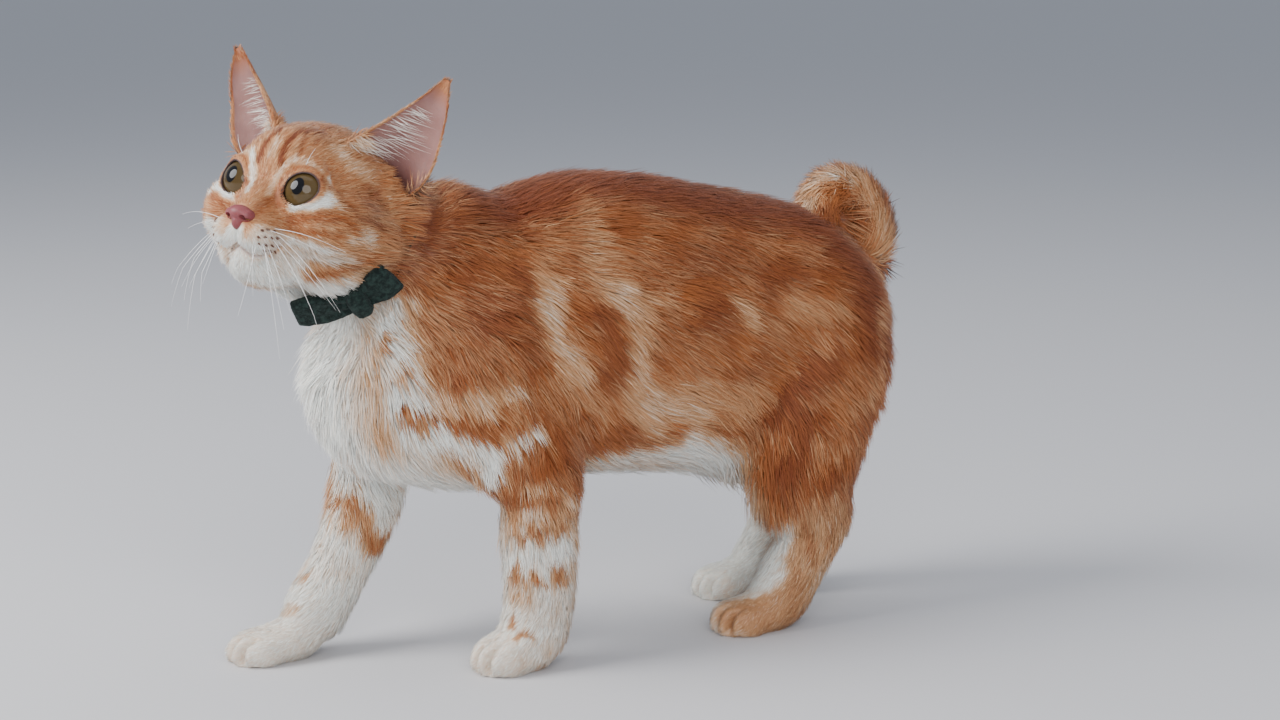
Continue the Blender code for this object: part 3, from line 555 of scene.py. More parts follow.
def toeLines(tree):  # a line on the skin down between each two toes
    rows = []
    for x, y, length, width, height in paws.values():
        for across in (-toes["apart"], 0.0, toes["apart"]):
            at, front = y + across * width, x - length + 5 * across ** 2
            line = smoothPath([(front - 2, at, 1.5), (front - 1, at, height * 0.45),
                               (front + 4, at, height * 0.85), (front + 12, at, height + 1)], 12)
            rows.append(toCat(np.array([tree.find_nearest(Vector(p))[0] for p in toRow(line)])))
    return rows


def betweenToes(points):  # distance to the nearest of those lines, more where it fades on the instep
    best = np.full(len(points), 9.0)
    low = np.nonzero(points[:, 2] < 26)[0]
    for line in toes["lines"]:
        distance, share = toLine(points[low], line)
        best[low] = np.minimum(best[low], distance + 3 * np.clip(share - 0.55, 0, 1))
    return best


def onPaws(rows):
    near = np.zeros(len(rows), bool)
    for x, y, length, width, height in paws.values():
        near |= ((rows[:, 0] < x + 2) & (rows[:, 0] > x - length - 4)
                 & (np.abs(rows[:, 1] - y) < width + 3) & (rows[:, 2] < height + 1))
    return near


def refine(body, chooses):  # halves the edges of the faces whose centres are chosen
    with edited(body.data) as bm:
        bm.faces.ensure_lookup_table()
        centres = toCat(np.array([f.calc_center_median() for f in bm.faces]))
        edges = list({e for k in np.nonzero(chooses(centres))[0] for e in bm.faces[int(k)].edges})
        bmesh.ops.subdivide_edges(bm, edges=edges, cuts=1, use_grid_fill=True, smooth=0.0)


def partToes(body):
    toes["lines"] = toeLines(surfaceOf(body))
    refine(body, onPaws)
    points = pointsOf(body)
    push = np.zeros(len(points))
    for line in toes["lines"]:
        distance, share = toLine(points, line)
        push -= toes["depth"] * bell(distance, toes["width"]) * np.clip(1.7 - 1.7 * share, 0, 1)
        push += toes["bulge"] * bell(distance - 3.4, 1.8) * np.clip(1.3 - 1.7 * share, 0, 1)
    points += normalsOf(body) * push[:, None]
    points[:, 2] = np.maximum(points[:, 2], 0)
    setPoints(body, points)


# Ears: each a cup between two edges, from under the coat to the tip, fused to the skin
ear = {"inner": ((4, 17, 26), (0.5, 20.5, 33), (-3, 26, 39), (-7, 33, 45.5), (-10, 41, 53),
                 (-12.4, 50, 61.5), (-13.4, 57.4, 69)),
       "outer": ((-25, 36, 11), (-20, 46, 16.5), (-16.5, 53, 21.5), (-16, 57, 29.5), (-16, 59, 41),
                 (-14.4, 61, 54), (-13.4, 60.4, 68)),
       "facing": (0.90, 0.38, 0.12), "cup": 15.0, "wall": 2.0, "ridge": 1.1, "rows": 30, "columns": 22,
       "bare": 2.6, "deepest": (6, 12), "deep": 13.0}


def earFacing(side):
    return np.array(ear["facing"]) * (1, side, 1)


def earGrid(side, wall):  # the inside (wall 0) or the back (wall 1) of an ear, in the head's frame
    rows, columns = ear["rows"], ear["columns"]
    inner, outer = (smoothPath(np.array(ear[edge]) * (1, side, 1), rows + 1) for edge in ("inner", "outer"))
    facing = unit(earFacing(side))
    rise = unit(inner[-1] - inner[-2])
    grid = np.zeros((rows + 1, columns + 1, 3))
    for i in range(rows + 1):
        v = i / rows
        a, b = inner[i], outer[i]
        half, middle, spread = np.linalg.norm(b - a) / 2, (a + b) / 2, unit(b - a)
        depth = ear["cup"] * (1 - v) ** 0.9 + 0.8
        for j in range(columns + 1):
            phi = math.pi * (j / columns - 0.5)
            thick = wall * ear["wall"] * (1 - 0.55 * v) * (0.4 + 0.6 * math.cos(phi))
            folds = (1 - wall) * ear["ridge"] * math.sin(phi * 5 + 0.8) * math.cos(phi) * (1 - v) ** 1.5
            point = middle + spread * math.sin(phi) * (half + thick * abs(math.sin(phi)))
            point = point - facing * (math.cos(phi) * depth + thick - folds)
            if i == rows:
                point = point + rise * (thick * 0.5 + 1.2 * math.cos(phi))
            grid[i, j] = point
    return grid


def bothEars(wall):  # the rows of the left ear's grid, then of the right one's
    return fromHead(np.vstack([earGrid(side, wall).reshape(-1, 3) for side in (1, -1)]))


def earMesh(side):
    rows, columns = ear["rows"], ear["columns"]
    wide = columns + 1
    n = (rows + 1) * wide
    i, j = np.meshgrid(np.arange(rows), np.arange(columns), indexing="ij")
    a = (i * wide + j).ravel()
    quads = [np.stack([a, a + 1, a + wide + 1, a + wide], 1) + k * n for k in (0, 1)]
    for end in (0, rows):
        e = end * wide + np.arange(columns)
        quads.append(np.stack([e, e + 1, e + 1 + n, e + n], 1))
    for end in (0, columns):
        e = np.arange(rows) * wide + end
        quads.append(np.stack([e, e + wide, e + wide + n, e + n], 1))
    grids = np.vstack([earGrid(side, wall).reshape(-1, 3) for wall in (0.0, 1.0)])
    return facingOut(meshFrom("ear", fromHead(grids), np.vstack(quads)))


def bareInEars(points, normals):  # 1 inside an ear's cup, 0 on its back and elsewhere
    rows, columns, reach = ear["rows"], ear["columns"], ear["bare"]
    size = (rows + 1) * (columns + 1)
    tree = nearestOf(bothEars(0.0))
    bare = np.zeros(len(points))
    h = toHead(points)
    towards = normals @ headAxes
    near = (np.abs(h[:, 1]) > 14) & (h[:, 2] > -4) & (h[:, 0] < 8) & (h[:, 0] > -40)
    for k in np.nonzero(near)[0]:
        _, index, distance = tree.find(points[k])
        opening = towards[k] @ earFacing(1 if index < size else -1)
        if distance < reach and opening > 0.05 and 1 < index % (columns + 1) < columns - 1:
            upTo = index % size // (columns + 1) / rows
            bare[k] = min(1.0, (reach - distance) * 2) * min(1.0, max(0.0, (0.97 - upTo) / 0.14))
    return bare


def shadeInEars(points):  # up to 0.85 at the bottom of an ear's cup: painted shade, darkest where the cup is deepest
    row, column = ear["deepest"]
    cups = [fromHead(earGrid(side, 0.0)[row, column]) for side in (1, -1)]
    return 0.85 * bell(np.min([away(points, cup) for cup in cups], axis=0), ear["deep"])


# The face's own folds, on a finer mesh: lids, line of the mouth, lips and philtrum
mouth = {"middle": (28, 0, -13.5), "depth": 1.7, "width": 0.8, "lip": 0.35, "philtrum": 0.8, "lidFold": 0.45,
         "split": ((16, 0, 3.6), (16, 0, 0), (14, 0, -3), (12, 0, -4.6))}


def surfacePath(tree, start, directions):  # where rays from inside the head meet its skin
    origin = toRow(fromHead([start]))[0]
    found = []
    for direction in directions:
        ahead = toRow(fromHead([np.add(start, direction)]))[0] - origin
        hit = tree.ray_cast(Vector(origin), Vector(ahead).normalized())[0]
        if hit is not None:
            found.append(toCat(np.array(hit)))
    return np.array(found)


def onFace(centres):
    h = toHead(centres)
    return (h[:, 0] > 9) & (np.linalg.norm(h, axis=1) < 62)


def onMuzzle(centres):
    h = toHead(centres)
    return (h[:, 0] > 24) & (h[:, 2] > -34) & (h[:, 2] < 22) & (np.abs(h[:, 1]) < 32)


def sculptFace(body):
    refine(body, onFace)
    refine(body, onMuzzle)
    tree = surfaceOf(body)
    lips = [(12 - 10 * abs(a) ** 1.6, 15.5 * a, -4.6 - 4.2 * math.sin(math.pi * abs(a)))
            for a in np.linspace(-1, 1, 25)]
    line, split = (surfacePath(tree, mouth["middle"], rays) for rays in (lips, mouth["split"]))
    points = pointsOf(body)
    fromMouth, fromSplit = toLine(points, line)[0], toLine(points, split)[0]
    push = -mouth["depth"] * bell(fromMouth, mouth["width"])
    push += mouth["lip"] * bell(fromMouth - 2.2, 1.2)
    push -= mouth["philtrum"] * bell(fromSplit, mouth["width"])
    push += mouth["lidFold"] * bell(lidFigure(points) - 1.16, 0.12)
    pushOut(body, push)
    return line


def openLids(body):
    a = turns(48)
    reach = eye["radius"]
    for side in (1, -1):
        across, up, axis = eyeFrame(side, eye["turn"])
        tall = np.where(np.sin(a) > 0, eye["upper"], eye["lower"])
        s = eye["half"] * np.cos(a)
        t = power(np.sin(a), 1.05) * tall + eye["slant"] * s
        rings = [fromHead(eyeCentre(side) + axis * ahead + (s[:, None] * across + t[:, None] * up) * wide)
                 for ahead, wide in ((0, 1.0), (reach, 1.0), (reach * 2, eye["flare"]))]
        carve(body, tube("opening", rings))
        carve(body, ball("socket", eyeCentre(side), (reach + eye["play"],) * 3))


# Markings: strokes followed on the photograph and laid on the body where its pixels meet it
# Some strokes below are painted shade, and the tail's rim a painted highlight; each is marked where it
# stands.
closeUp = {"corner": (180, 30), "times": 4}
tones = {  # how white and how dark
    # the peach tone is the tail rim's own cream, lightened as a painted highlight of back light
    "white": (1, 0), "cream": (0.66, 0), "pale": (0.42, 0.05), "backlitPeach": (0.52, 0.0), "orange": (0, 0.2),
    # the tan tone is the hind foot's own tan, darkened further by painted shade
    "rust": (0, 0.55), "dark": (0, 1), "shadedTan": (0.27, 0.8), "paw": (0.84, 0), "sock": (0.97, 0)
}
ground = [  # tone, radius, strength, line in the cat's frame: the white underside
    ("white", 30, 1, ((-128, 0, 90), (-60, 0, 80), (20, 0, 76), (95, 0, 84))),
    ("white", 34, 1, ((-166, 0, 176), (-168, 0, 150), (-158, 0, 118), (-136, 0, 98))),
    ("white", 15, 1, ((-112, 16, 105), (-122, 34, 78), (-134, 36, 48), (-150, 36, 24), (-190, 35, 8))),
    ("sock", 22, 1, ((-134, 36, 52), (-150, 36, 24), (-190, 35, 8))),
    ("white", 12, 1, ((-82, -24, 110), (-70, -30, 80))),
    ("sock", 21, 1, ((-66.5, -40, 60), (-67, -39, 30), (-98, -39, 6))),
    ("paw", 15, 1, ((-72, -39, 12), (-98, -39, 8))), ("paw", 15, 1, ((-165, 35, 10), (-192, 35, 8))),
    ("white", 17, 1, ((92, 26, 84), (110, 32, 60))),
    ("white", 21, 1, ((121, 35, 58), (122, 33, 46), (105, 31, 26), (70, 29, 8))),
    ("white", 13, 1, ((84, -22, 92), (90, -26, 70))),
    ("white", 19, 0.8, ((88, -35, 48), (78, -35, 30), (45, -36, 8)))
]
flank = [  # tone, radius, strength, pixels; the far side gets the same
    ("white", 9, 1, ((395, 320), (398, 350), (402, 385), (430, 440))),
    ("white", 7, 1, ((440, 440), (470, 448), (492, 474))),
    ("pale", 8, 0.4, ((440, 300), (435, 340), (430, 370))),
    ("cream", 4.2, 0.8, ((430, 392), (450, 400), (480, 398), (518, 394))),
    ("rust", 3.4, 0.9, ((372, 352), (388, 333))), ("rust", 2.8, 0.8, ((388, 382), (404, 360))),
    ("rust", 2.6, 0.7, ((418, 396), (432, 374))),
    ("rust", 3.6, 0.95, ((408, 416), (455, 424), (492, 434), (525, 430), (548, 416))),
    ("white", 4.2, 0.9, ((478, 458), (505, 448), (538, 431))), ("orange", 3, 0.4, ((468, 455),)),
    ("pale", 5, 0.45, ((543, 235), (544, 275))),
    ("cream", 6, 0.72, ((551, 287), (548, 312), (560, 341), (577, 368))),
    ("pale", 4, 0.5, ((572, 368), (590, 392), (600, 420))),
    ("dark", 7, 0.6, ((520, 270), (518, 310), (528, 350))), ("pale", 6, 0.5, ((582, 190), (590, 225))),
    ("cream", 6, 0.4, ((592, 235), (590, 255), (600, 280), (622, 300))),
    ("cream", 6.5, 0.62, ((622, 300), (641, 318), (638, 345), (636, 372), (628, 394), (641, 415),
        (655, 432))), ("pale", 4, 0.6, ((622, 300), (650, 300), (668, 294))),
    ("dark", 20, 0.4, ((450, 230), (462, 290), (450, 340))), ("pale", 11, 0.35, ((488, 358), (510, 390))),
    ("dark", 7, 0.6, ((598, 314), (610, 330), (611, 352), (603, 374))),
    ("dark", 7, 0.6, ((698, 320), (718, 312))), ("cream", 5, 0.5, ((740, 304), (754, 320))),
    ("pale", 8, 0.5, ((792, 296), (818, 306))), ("pale", 11, 0.6, ((650, 402), (700, 396), (742, 402))),
    ("cream", 6, 0.5, ((650, 400), (700, 420))), ("white", 11, 1, ((685, 455), (715, 462), (732, 488))),
    ("white", 6, 0.8, ((600, 462), (650, 460))),
    ("dark", 16, 1, ((500, 205), (575, 180), (640, 182), (720, 197), (790, 208), (840, 240), (868, 290),
        (878, 335))), ("dark", 9, 0.6, ((688, 262), (712, 256), (745, 262), (795, 272))),
    ("dark", 8, 0.45, ((492, 300), (498, 330), (488, 362))), ("dark", 6, 0.5, ((500, 215), (530, 203))),
    ("dark", 5, 0.85, ((836, 350), (812, 378), (790, 400), (770, 418))),
    ("dark", 7, 0.9, ((800, 425), (805, 450), (795, 462), (782, 470))),
    ("dark", 3.5, 0.7, ((800, 478), (830, 474), (856, 478))), ("pale", 5, 0.4, ((820, 440), (845, 450)))
]
limbs = [  # the near legs and the tail, one side only
    ("cream", 3, 0.85, ((528, 490), (552, 484))), ("cream", 3, 0.9, ((502, 522), (540, 512), (578, 500))),
    ("dark", 3.6, 0.85, ((512, 541), (545, 528), (580, 512))), ("dark", 5, 0.6, ((560, 438), (574, 465))),
    ("rust", 3, 0.7, ((510, 476), (545, 468))), ("rust", 4, 0.5, ((500, 490), (508, 520))),
    ("white", 6.5, 1, ((505, 562), (540, 557), (572, 548))),
    ("rust", 3.1, 0.8, ((514, 572), (528, 578), (546, 580), (567, 573))),
    ("rust", 2.8, 0.8, ((570, 562), (574, 552))), ("rust", 2.4, 0.6, ((516, 594),)),
    ("rust", 3, 0.8, ((512, 628), (525, 636))),
    ("rust", 6, 0.85, ((326, 497), (348, 506), (362, 530), (380, 541))),
    ("rust", 5, 0.8, ((380, 541), (392, 530))), ("orange", 3, 0.55, ((345, 458), (353, 480))),
    ("orange", 3, 0.4, ((398, 490), (406, 502))), ("orange", 2.4, 0.55, ((295, 579), (307, 572))),
    # the tan strokes on the near hind foot carry painted shade over its own tan
    ("orange", 2.4, 0.4, ((285, 613), (294, 608))), ("shadedTan", 5, 0.7, ((775, 514), (800, 508), (825, 502))),
    ("shadedTan", 8, 0.9, ((815, 518), (815, 545), (798, 592))), ("shadedTan", 6, 0.8, ((838, 505), (838, 532))),
    ("shadedTan", 12, 0.85, ((735, 612), (792, 612))), ("rust", 2.6, 0.5, ((812, 522), (816, 556))),
    ("white", 7.5, 1, ((784, 530), (776, 548), (768, 565), (758, 582))),
    ("pale", 3.5, 0.7, ((882, 262), (882, 300), (879, 340), (874, 385)))
]
faceMarks = [  # in the close-up's pixels; the far side of the face gets the same
    ("pale", 3.5, 0.45, ((425, 480), (450, 430), (480, 390))),
    ("white", 6, 1, ((320, 840), (400, 872), (450, 905))), ("white", 6, 1, ((250, 905), (330, 925))),
    ("white", 6, 1, ((235, 960), (330, 1000))), ("white", 6, 1, ((400, 1010), (520, 1035), (640, 1050))),
    ("cream", 4.5, 0.9, ((440, 862), (520, 880), (600, 905), (650, 935))),
    ("white", 1.6, 0.7, ((440, 850), (520, 860), (590, 885))),
    ("white", 1.6, 0.6, ((460, 890), (540, 915), (620, 930))),
    ("cream", 1.5, 0.75, ((352, 655), (372, 605), (405, 545), (452, 512))),
    ("white", 2.6, 1, ((452, 712), (520, 716), (585, 690), (614, 645), (596, 612))),
    ("cream", 2.4, 0.7, ((600, 640), (650, 700))), ("cream", 3.4, 0.8, ((690, 850), (730, 822), (772, 850))),
    ("rust", 2.5, 0.85, ((500, 992), (580, 972), (660, 962), (740, 932), (805, 895))),
    ("dark", 2.1, 0.7, ((572, 600), (622, 640), (672, 700), (722, 752), (800, 792), (870, 812))),
    ("rust", 2.5, 0.85, ((438, 762), (520, 747), (600, 747), (660, 762), (704, 800))),
    ("rust", 1.8, 0.7, ((440, 802), (540, 812), (640, 822))),
    # the next stroke is painted shade down the side of the nose's bridge
    ("dark", 2.0, 0.5, ((305, 722), (332, 692), (378, 662), (398, 632))),
    ("dark", 1.0, 0.8, ((402, 600), (402, 634), (418, 664))),
    ("dark", 1.2, 0.95, ((312, 520), (345, 450), (390, 400), (430, 375))),
    ("dark", 1.1, 0.85, ((400, 530), (420, 470), (452, 420), (490, 385))),
    ("cream", 1.2, 0.5, ((365, 500), (400, 430))), ("dark", 1.1, 0.75, ((470, 500), (490, 430), (520, 390))),
    ("dark", 1.2, 0.5, ((540, 450), (575, 410), (600, 390))),
    # the next stroke greys the whisker pad: its own peach tint with painted shade
    ("pale", 4, 0.45, ((300, 830), (350, 850), (400, 880), (450, 900))),
    ("dark", 2.2, 0.45, ((750, 640), (840, 690), (915, 730))),
    ("rust", 2.5, 0.5, ((815, 835), (880, 800), (925, 760))),
    ("cream", 1.7, 0.55, ((470, 520), (520, 530), (560, 562))),
    ("cream", 4, 0.5, ((640, 472), (700, 540), (760, 592))),
    ("white", 3, 1, ((225, 800), (240, 850), (300, 870))),
    # the next stroke is painted shade in a thin line over the upper lid
    ("rust", 1.1, 0.6, ((418, 588), (448, 556), (490, 545), (540, 558), (566, 590))),
    ("rust", 1.6, 0.5, ((395, 700), (360, 690), (330, 720)))
]
farCheek = [
    ("white", 1.4, 0.7, ((264, 640), (282, 590), (288, 530), (294, 480))),
    ("white", 3, 0.9, ((122, 600), (118, 640))), ("pale", 3, 0.7, ((105, 690), (112, 740))),
    ("white", 4, 1, ((118, 785), (125, 850))), ("white", 2.5, 1, ((205, 810), (200, 850), (190, 880))),
    ("white", 4, 1, ((150, 860), (165, 900), (190, 950)))
]
tailMarks = [
    # the tail's pale rim: its own cream, lightened further as a painted highlight of back light
    ("backlitPeach", 6.0, 1, ((799, 214), (799, 190), (812, 174), (835, 168), (860, 178))),
    ("cream", 4, 0.8, ((800, 208), (803, 186), (817, 172), (840, 169))), ("orange", 5, 0.8, ((834, 190),)),
    ("pale", 7, 0.8, ((872, 190), (880, 215), (882, 245))),
    ("rust", 5, 0.5, ((824, 198), (842, 207), (852, 228)))
]


def strokeLine(tree, pixels):
    lens = Vector(toRow(camera["place"]))
    hits = [tree.ray_cast(lens, Vector(photoRay(pixel)).normalized())[0] for pixel in pixels]
    return np.array([toCat(np.array(hit)) for hit in hits if hit is not None])


def fromCloseUp(pixels):
    (left, top), times = closeUp["corner"], closeUp["times"]
    return [(left + x / times, top + y / times) for x, y in pixels]


def mirrored(line, onHead):
    return fromHead(toHead(line) * (1, -1, 1)) if onHead else line * (1, -1, 1)


def markings(tree, *groups):  # every stroke as a line on the body
    rows = []
    for group, both, onHead in groups:
        for tone, radius, strength, pixels in group:
            line = strokeLine(tree, fromCloseUp(pixels) if onHead else pixels)
            if len(line):
                rows.append((tone, radius, strength, line))
                if both:
                    rows.append((tone, radius, strength, mirrored(line, onHead)))
    return rows


def painted(points, strokes):  # how white and how dark the coat is at each point
    onHead, band = isHead(points), inCollar(points)
    face = ramp(toHead(points)[:, 0], 0, 15) * onHead
    ahead = ramp(band, -1, 6) * onHead
    # crease: painted shadow in the groove just behind the collar, added to how dark the coat is
    crease = bell(band + 7, 5) * onHead
    step = 5.0 * (1 - face) + 0.8 * face - 2.5 * ahead * (1 - face)
    loose = points + np.stack([wander(points, 9, s) for s in (1, 2, 3)], 1) * step[:, None]
    white = np.clip(0.06 + 0.09 * wander(points, 16, 6) + 0.15 * ahead, 0, 1)
    dark = 0.53 + 0.22 * wander(points, 18, 4) + 0.14 * wander(points, 6, 5) - 0.30 * ahead + 0.35 * crease
    for tone, radius, strength, line in strokes:
        low, high = line.min(0) - 1.5 * radius, line.max(0) + 1.5 * radius
        near = np.nonzero(np.all((loose > low) & (loose < high), axis=1))[0]
        w = strength * np.clip(1.5 - toLine(loose[near], line)[0] / radius, 0, 1) ** 0.8
        for value, goal in zip((white, dark), tones[tone]):
            value[near] += (goal - value[near]) * w
    return np.clip(white, 0, 1), np.clip(dark, 0, 1)


# Materials
def nodeSet(name):
    made = bpy.data.materials.new(name)
    made.use_nodes = True
    return made, made.node_tree


def feed(tree, socket, value):  # a link from another node, or a fixed value
    if isinstance(value, bpy.types.NodeSocket):
        tree.links.new(value, socket)
    else:
        socket.default_value = value


def add(tree, kind, **values):
    node = tree.nodes.new(kind)
    for key, value in values.items():
        if key in node.inputs:
            feed(tree, node.inputs[key], value)
        else:
            setattr(node, key, value)
    return node


def surface(tree, settings):
    for key, value in settings.items():
        feed(tree, tree.nodes["Principled BSDF"].inputs[key], value)


def mixColour(tree, factor, a, b, blend="MIX"):
    node = add(tree, "ShaderNodeMix", data_type="RGBA", blend_type=blend)
    for socket, value in ((node.inputs["Factor"], factor), (node.inputs[6], a), (node.inputs[7], b)):
        feed(tree, socket, value)
    return node.outputs[2]


def calc(tree, operation, *values):
    node = add(tree, "ShaderNodeMath", operation=operation)
    for socket, value in zip(node.inputs, values):
        feed(tree, socket, value)
    return node.outputs[0]


def lengthOf(tree, values):
    return calc(tree, "SQRT", calc(tree, "ADD", *[calc(tree, "POWER", v, 2.0) for v in values]))


def spanned(tree, value, low, high):  # 0 at low, 1 at high
    return add(tree, "ShaderNodeMapRange", Value=value, **{"From Min": low, "From Max": high}).outputs[0]


def onObject(tree):
    return add(tree, "ShaderNodeTexCoord").outputs["Object"]


def noise(tree, scale, detail, **more):
    made = add(tree, "ShaderNodeTexNoise", Vector=onObject(tree), Scale=scale, Detail=detail, **more)
    return made.outputs[0]


def bump(tree, height, strength, distance):
    return add(tree, "ShaderNodeBump", Height=height, Strength=strength, Distance=distance).outputs[0]


def readLayer(tree, name):  # a colour layer's three channels and its alpha
    read = add(tree, "ShaderNodeAttribute", attribute_name=name)
    parts = add(tree, "ShaderNodeSeparateColor", Color=read.outputs["Color"])
    return *parts.outputs[:3], read.outputs["Alpha"]


coatColours = {
    "orange": (0.46, 0.132, 0.028, 1), "dark": (0.200, 0.038, 0.008, 1), "pale": (0.70, 0.40, 0.20, 1),
    "white": (0.95, 0.98, 0.925, 1), "tip": (0.74, 0.42, 0.20, 1), "flesh": (0.20, 0.085, 0.072, 1),
    # the darkest flesh colour below is painted shade, for the bottom of the ears' cups
    "fleshPale": (0.33, 0.175, 0.152, 1), "fleshInShade": (0.10, 0.034, 0.030, 1),
    # under, below, is painted shade: the coat's colour darkened on the skin between the tufts
    "rim": (0.035, 0.014, 0.012, 1), "under": (0.72, 0.60, 0.52, 1)
}


def peltColour(tree):  # the same mixing for the skin and for every tuft
    white, dark, chance, along = readLayer(tree, "pelt")
    red = mixColour(tree, dark, coatColours["orange"], coatColours["dark"])
    pale = mixColour(tree, spanned(tree, white, 0, 0.5), red, coatColours["pale"])
    return mixColour(tree, spanned(tree, white, 0.45, 1), pale, coatColours["white"]), chance, along


def coatMaterial():
    made, tree = nodeSet("coat hair")
    colour, chance, along = peltColour(tree)
    tips = calc(tree, "MULTIPLY", calc(tree, "POWER", along, 2.0), calc(tree, "MULTIPLY", chance, 0.30))
    colour = mixColour(tree, tips, colour, mixColour(tree, 0.5, colour, coatColours["tip"]))
    bright = calc(tree, "MULTIPLY_ADD", chance, 0.42, 0.80)
    spread = add(tree, "ShaderNodeHueSaturation", Color=colour, Value=bright).outputs[0]
    # painted shade: each hair darker towards its root, deeper in the coat
    rootShade = calc(tree, "MULTIPLY_ADD", along, 0.32, 0.74)
    shade = add(tree, "ShaderNodeCombineColor", Red=rootShade, Green=rootShade, Blue=rootShade).outputs[0]
    surface(tree, {"Base Color": mixColour(tree, 1.0, spread, shade, "MULTIPLY"), "Roughness": 0.62,
                   "Specular IOR Level": 0.25, "Sheen Weight": 0.12, "Sheen Roughness": 0.5})
    return made


def skinMaterial():
    made, tree = nodeSet("skin")
    bare, rim, deep, _ = readLayer(tree, "bare")
    # painted shade: the skin seen between the tufts takes the coat's colour, darkened
    under = mixColour(tree, 0.6, peltColour(tree)[0], coatColours["under"], "MULTIPLY")
    flesh = mixColour(tree, noise(tree, 120.0, 4.0), coatColours["flesh"], coatColours["fleshPale"])
    # painted shade at the bottom of each ear's cup
    flesh = mixColour(tree, deep, flesh, coatColours["fleshInShade"])
    colour = mixColour(tree, rim, mixColour(tree, bare, under, flesh), coatColours["rim"])
    surface(tree, {"Base Color": colour, "Normal": bump(tree, noise(tree, 900.0, 3.0), 0.35, 0.0004),
                   "Roughness": 0.58, "Subsurface Weight": 0.12, "Subsurface Scale": 0.002})
    return made


def setMaterial(obj, made, slot, *nodes):
    obj.data.materials.clear()
    obj.data.materials.append(made)
    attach(obj, "root")
    if nodes:
        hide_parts(*nodes)


def addColour(obj, name, *channels):  # each channel an array, or one number for every point
    rows = np.stack([np.broadcast_to(c, len(obj.data.vertices)) for c in channels], 1)
    layer = obj.data.color_attributes.new(name, "FLOAT_COLOR", "POINT")
    layer.data.foreach_set("color", rows.astype(np.float32).ravel())


def addMap(obj, name, rows):  # a place on the picture for each corner of each face
    layer = obj.data.uv_layers.new(name=name)
    layer.data.foreach_set("uv", rows.astype(np.float32).ravel())


# Tufts: thin three-sided spindles, from a point in the skin over a bent middle to a tip
tuft = {"seed": 7, "sink": 0.4, "ridge": 0.35, "clump": 0.42, "clumpShare": 0.05, "twist": 0.5, "sway": 0.16,
        "softNormal": 0.72, "patch": 0.003, "along": 0.38, "high": 0.72, "share": 0.81,
        "faces": ((0, 1, 3), (0, 3, 2), (0, 2, 1), (4, 3, 1), (4, 2, 3), (4, 1, 2)),
        "spots": ((0, -0.5), (-0.5, -0.1), (0.5, -0.1), (0, 0), (0, 0.5)),
        "spare": ((-6, -2.9, 0.05), (4.5, 2.9, 4))}
tuftReach = [toCat(corner) + spare for corner, spare in zip(cadBox, tuft["spare"])]  # no tip goes further out


def leaning(root, normal, length, tip, clump, draw):  # how far each tip leans to the nearest chosen one
    n = len(root)
    if not clump:
        return np.zeros_like(tip)
    middle = draw.choice(n, max(1, int(n * tuft["clumpShare"])), replace=False)
    tree = nearestOf(root[middle])
    owner = middle[[tree.find(p)[1] for p in root]]
    goal = tip[owner] + normal[owner] * (0.06 * length[owner])[:, None]
    pull = clump * np.clip(1.6 - np.linalg.norm(tip - goal, axis=1) / np.maximum(length, 1), 0, 1)
    return (goal - tip) * pull[:, None]


def tuftMesh(name, hairs, uv, seed, clump):
    root, normal, lie, length, rise, width, white, dark = hairs
    draw = np.random.default_rng(seed)
    n, along = len(root), tuft["along"]
    lie = unit(lie + np.cross(normal, lie) * draw.normal(0, tuft["sway"], n)[:, None])
    tip = root + lie * length[:, None] + normal * rise[:, None]
    bend = leaning(root, normal, length, tip, clump, draw)
    twist = draw.normal(0, tuft["twist"], n)[:, None]
    flat = np.cross(normal, lie) * np.cos(twist) + normal * np.sin(twist)
    half, ridge = flat * (width / 2)[:, None], np.cross(lie, flat) * (width * tuft["ridge"])[:, None]
    middle = root + lie * (length * along)[:, None] + normal * (rise * tuft["high"])[:, None]
    middle = middle + bend * along ** 2
    rows = np.stack([root, middle - half, middle + half, middle + ridge, tip + bend], 1)
    rows[:, 1:] = np.clip(rows[:, 1:], *tuftReach)
    triangles = np.concatenate([(np.arange(n) * 5)[:, None] + t for t in tuft["faces"]])
    obj = meshFrom(name, rows.reshape(-1, 3), triangles)
    chance = np.clip(draw.normal(0.5, 0.2, n), 0, 1)
    strand = np.tile((0, along, along, along, 1.0), n)
    addColour(obj, "pelt", *[np.repeat(v, 5) for v in (white, dark, chance)], strand)
    patches = uv[:, None, :] + np.array(tuft["spots"]) * tuft["patch"]
    addMap(obj, "OFBake", patches.reshape(-1, 2)[triangles])
    obj.data.shade_smooth()
    soft = np.repeat(unit(normal + lie * 0.15), 5, 0) * tuft["softNormal"]
    obj.data.normals_split_custom_set_from_vertices(unit(normalsOf(obj) * (1 - tuft["softNormal"]) + soft))
    return obj


def scatter(body, density, seed):  # root places on the skin's triangles, evenly by area
    body.data.calc_loop_triangles()
    corners = readRows(body.data.loop_triangles, "vertices", 3, np.int32)
    points, normals = pointsOf(body), normalsOf(body)
    a, b, c = (points[corners[:, k]] for k in range(3))
    area = np.linalg.norm(np.cross(b - a, c - a), axis=1) / 2
    middle = (a + b + c) / 3
    order = np.lexsort(np.round(middle[:, ::-1] / 6).T)
    share = np.cumsum((area * density(middle))[order])
    draw = np.random.default_rng(seed)
    marks = np.arange(0.5, share[-1])
    marks += draw.uniform(-0.5, 0.5, len(marks))
    picked = corners[order[np.searchsorted(share, np.clip(marks, 0, share[-1] - 1e-6))]]
    u, v = draw.uniform(0, 1, (2, len(picked)))
    over = u + v > 1
    u, v = np.where(over, 1 - u, u), np.where(over, 1 - v, v)
    w = np.stack([1 - u - v, u, v], 1)[:, :, None]
    return (points[picked] * w).sum(1), unit((normals[picked] * w).sum(1))


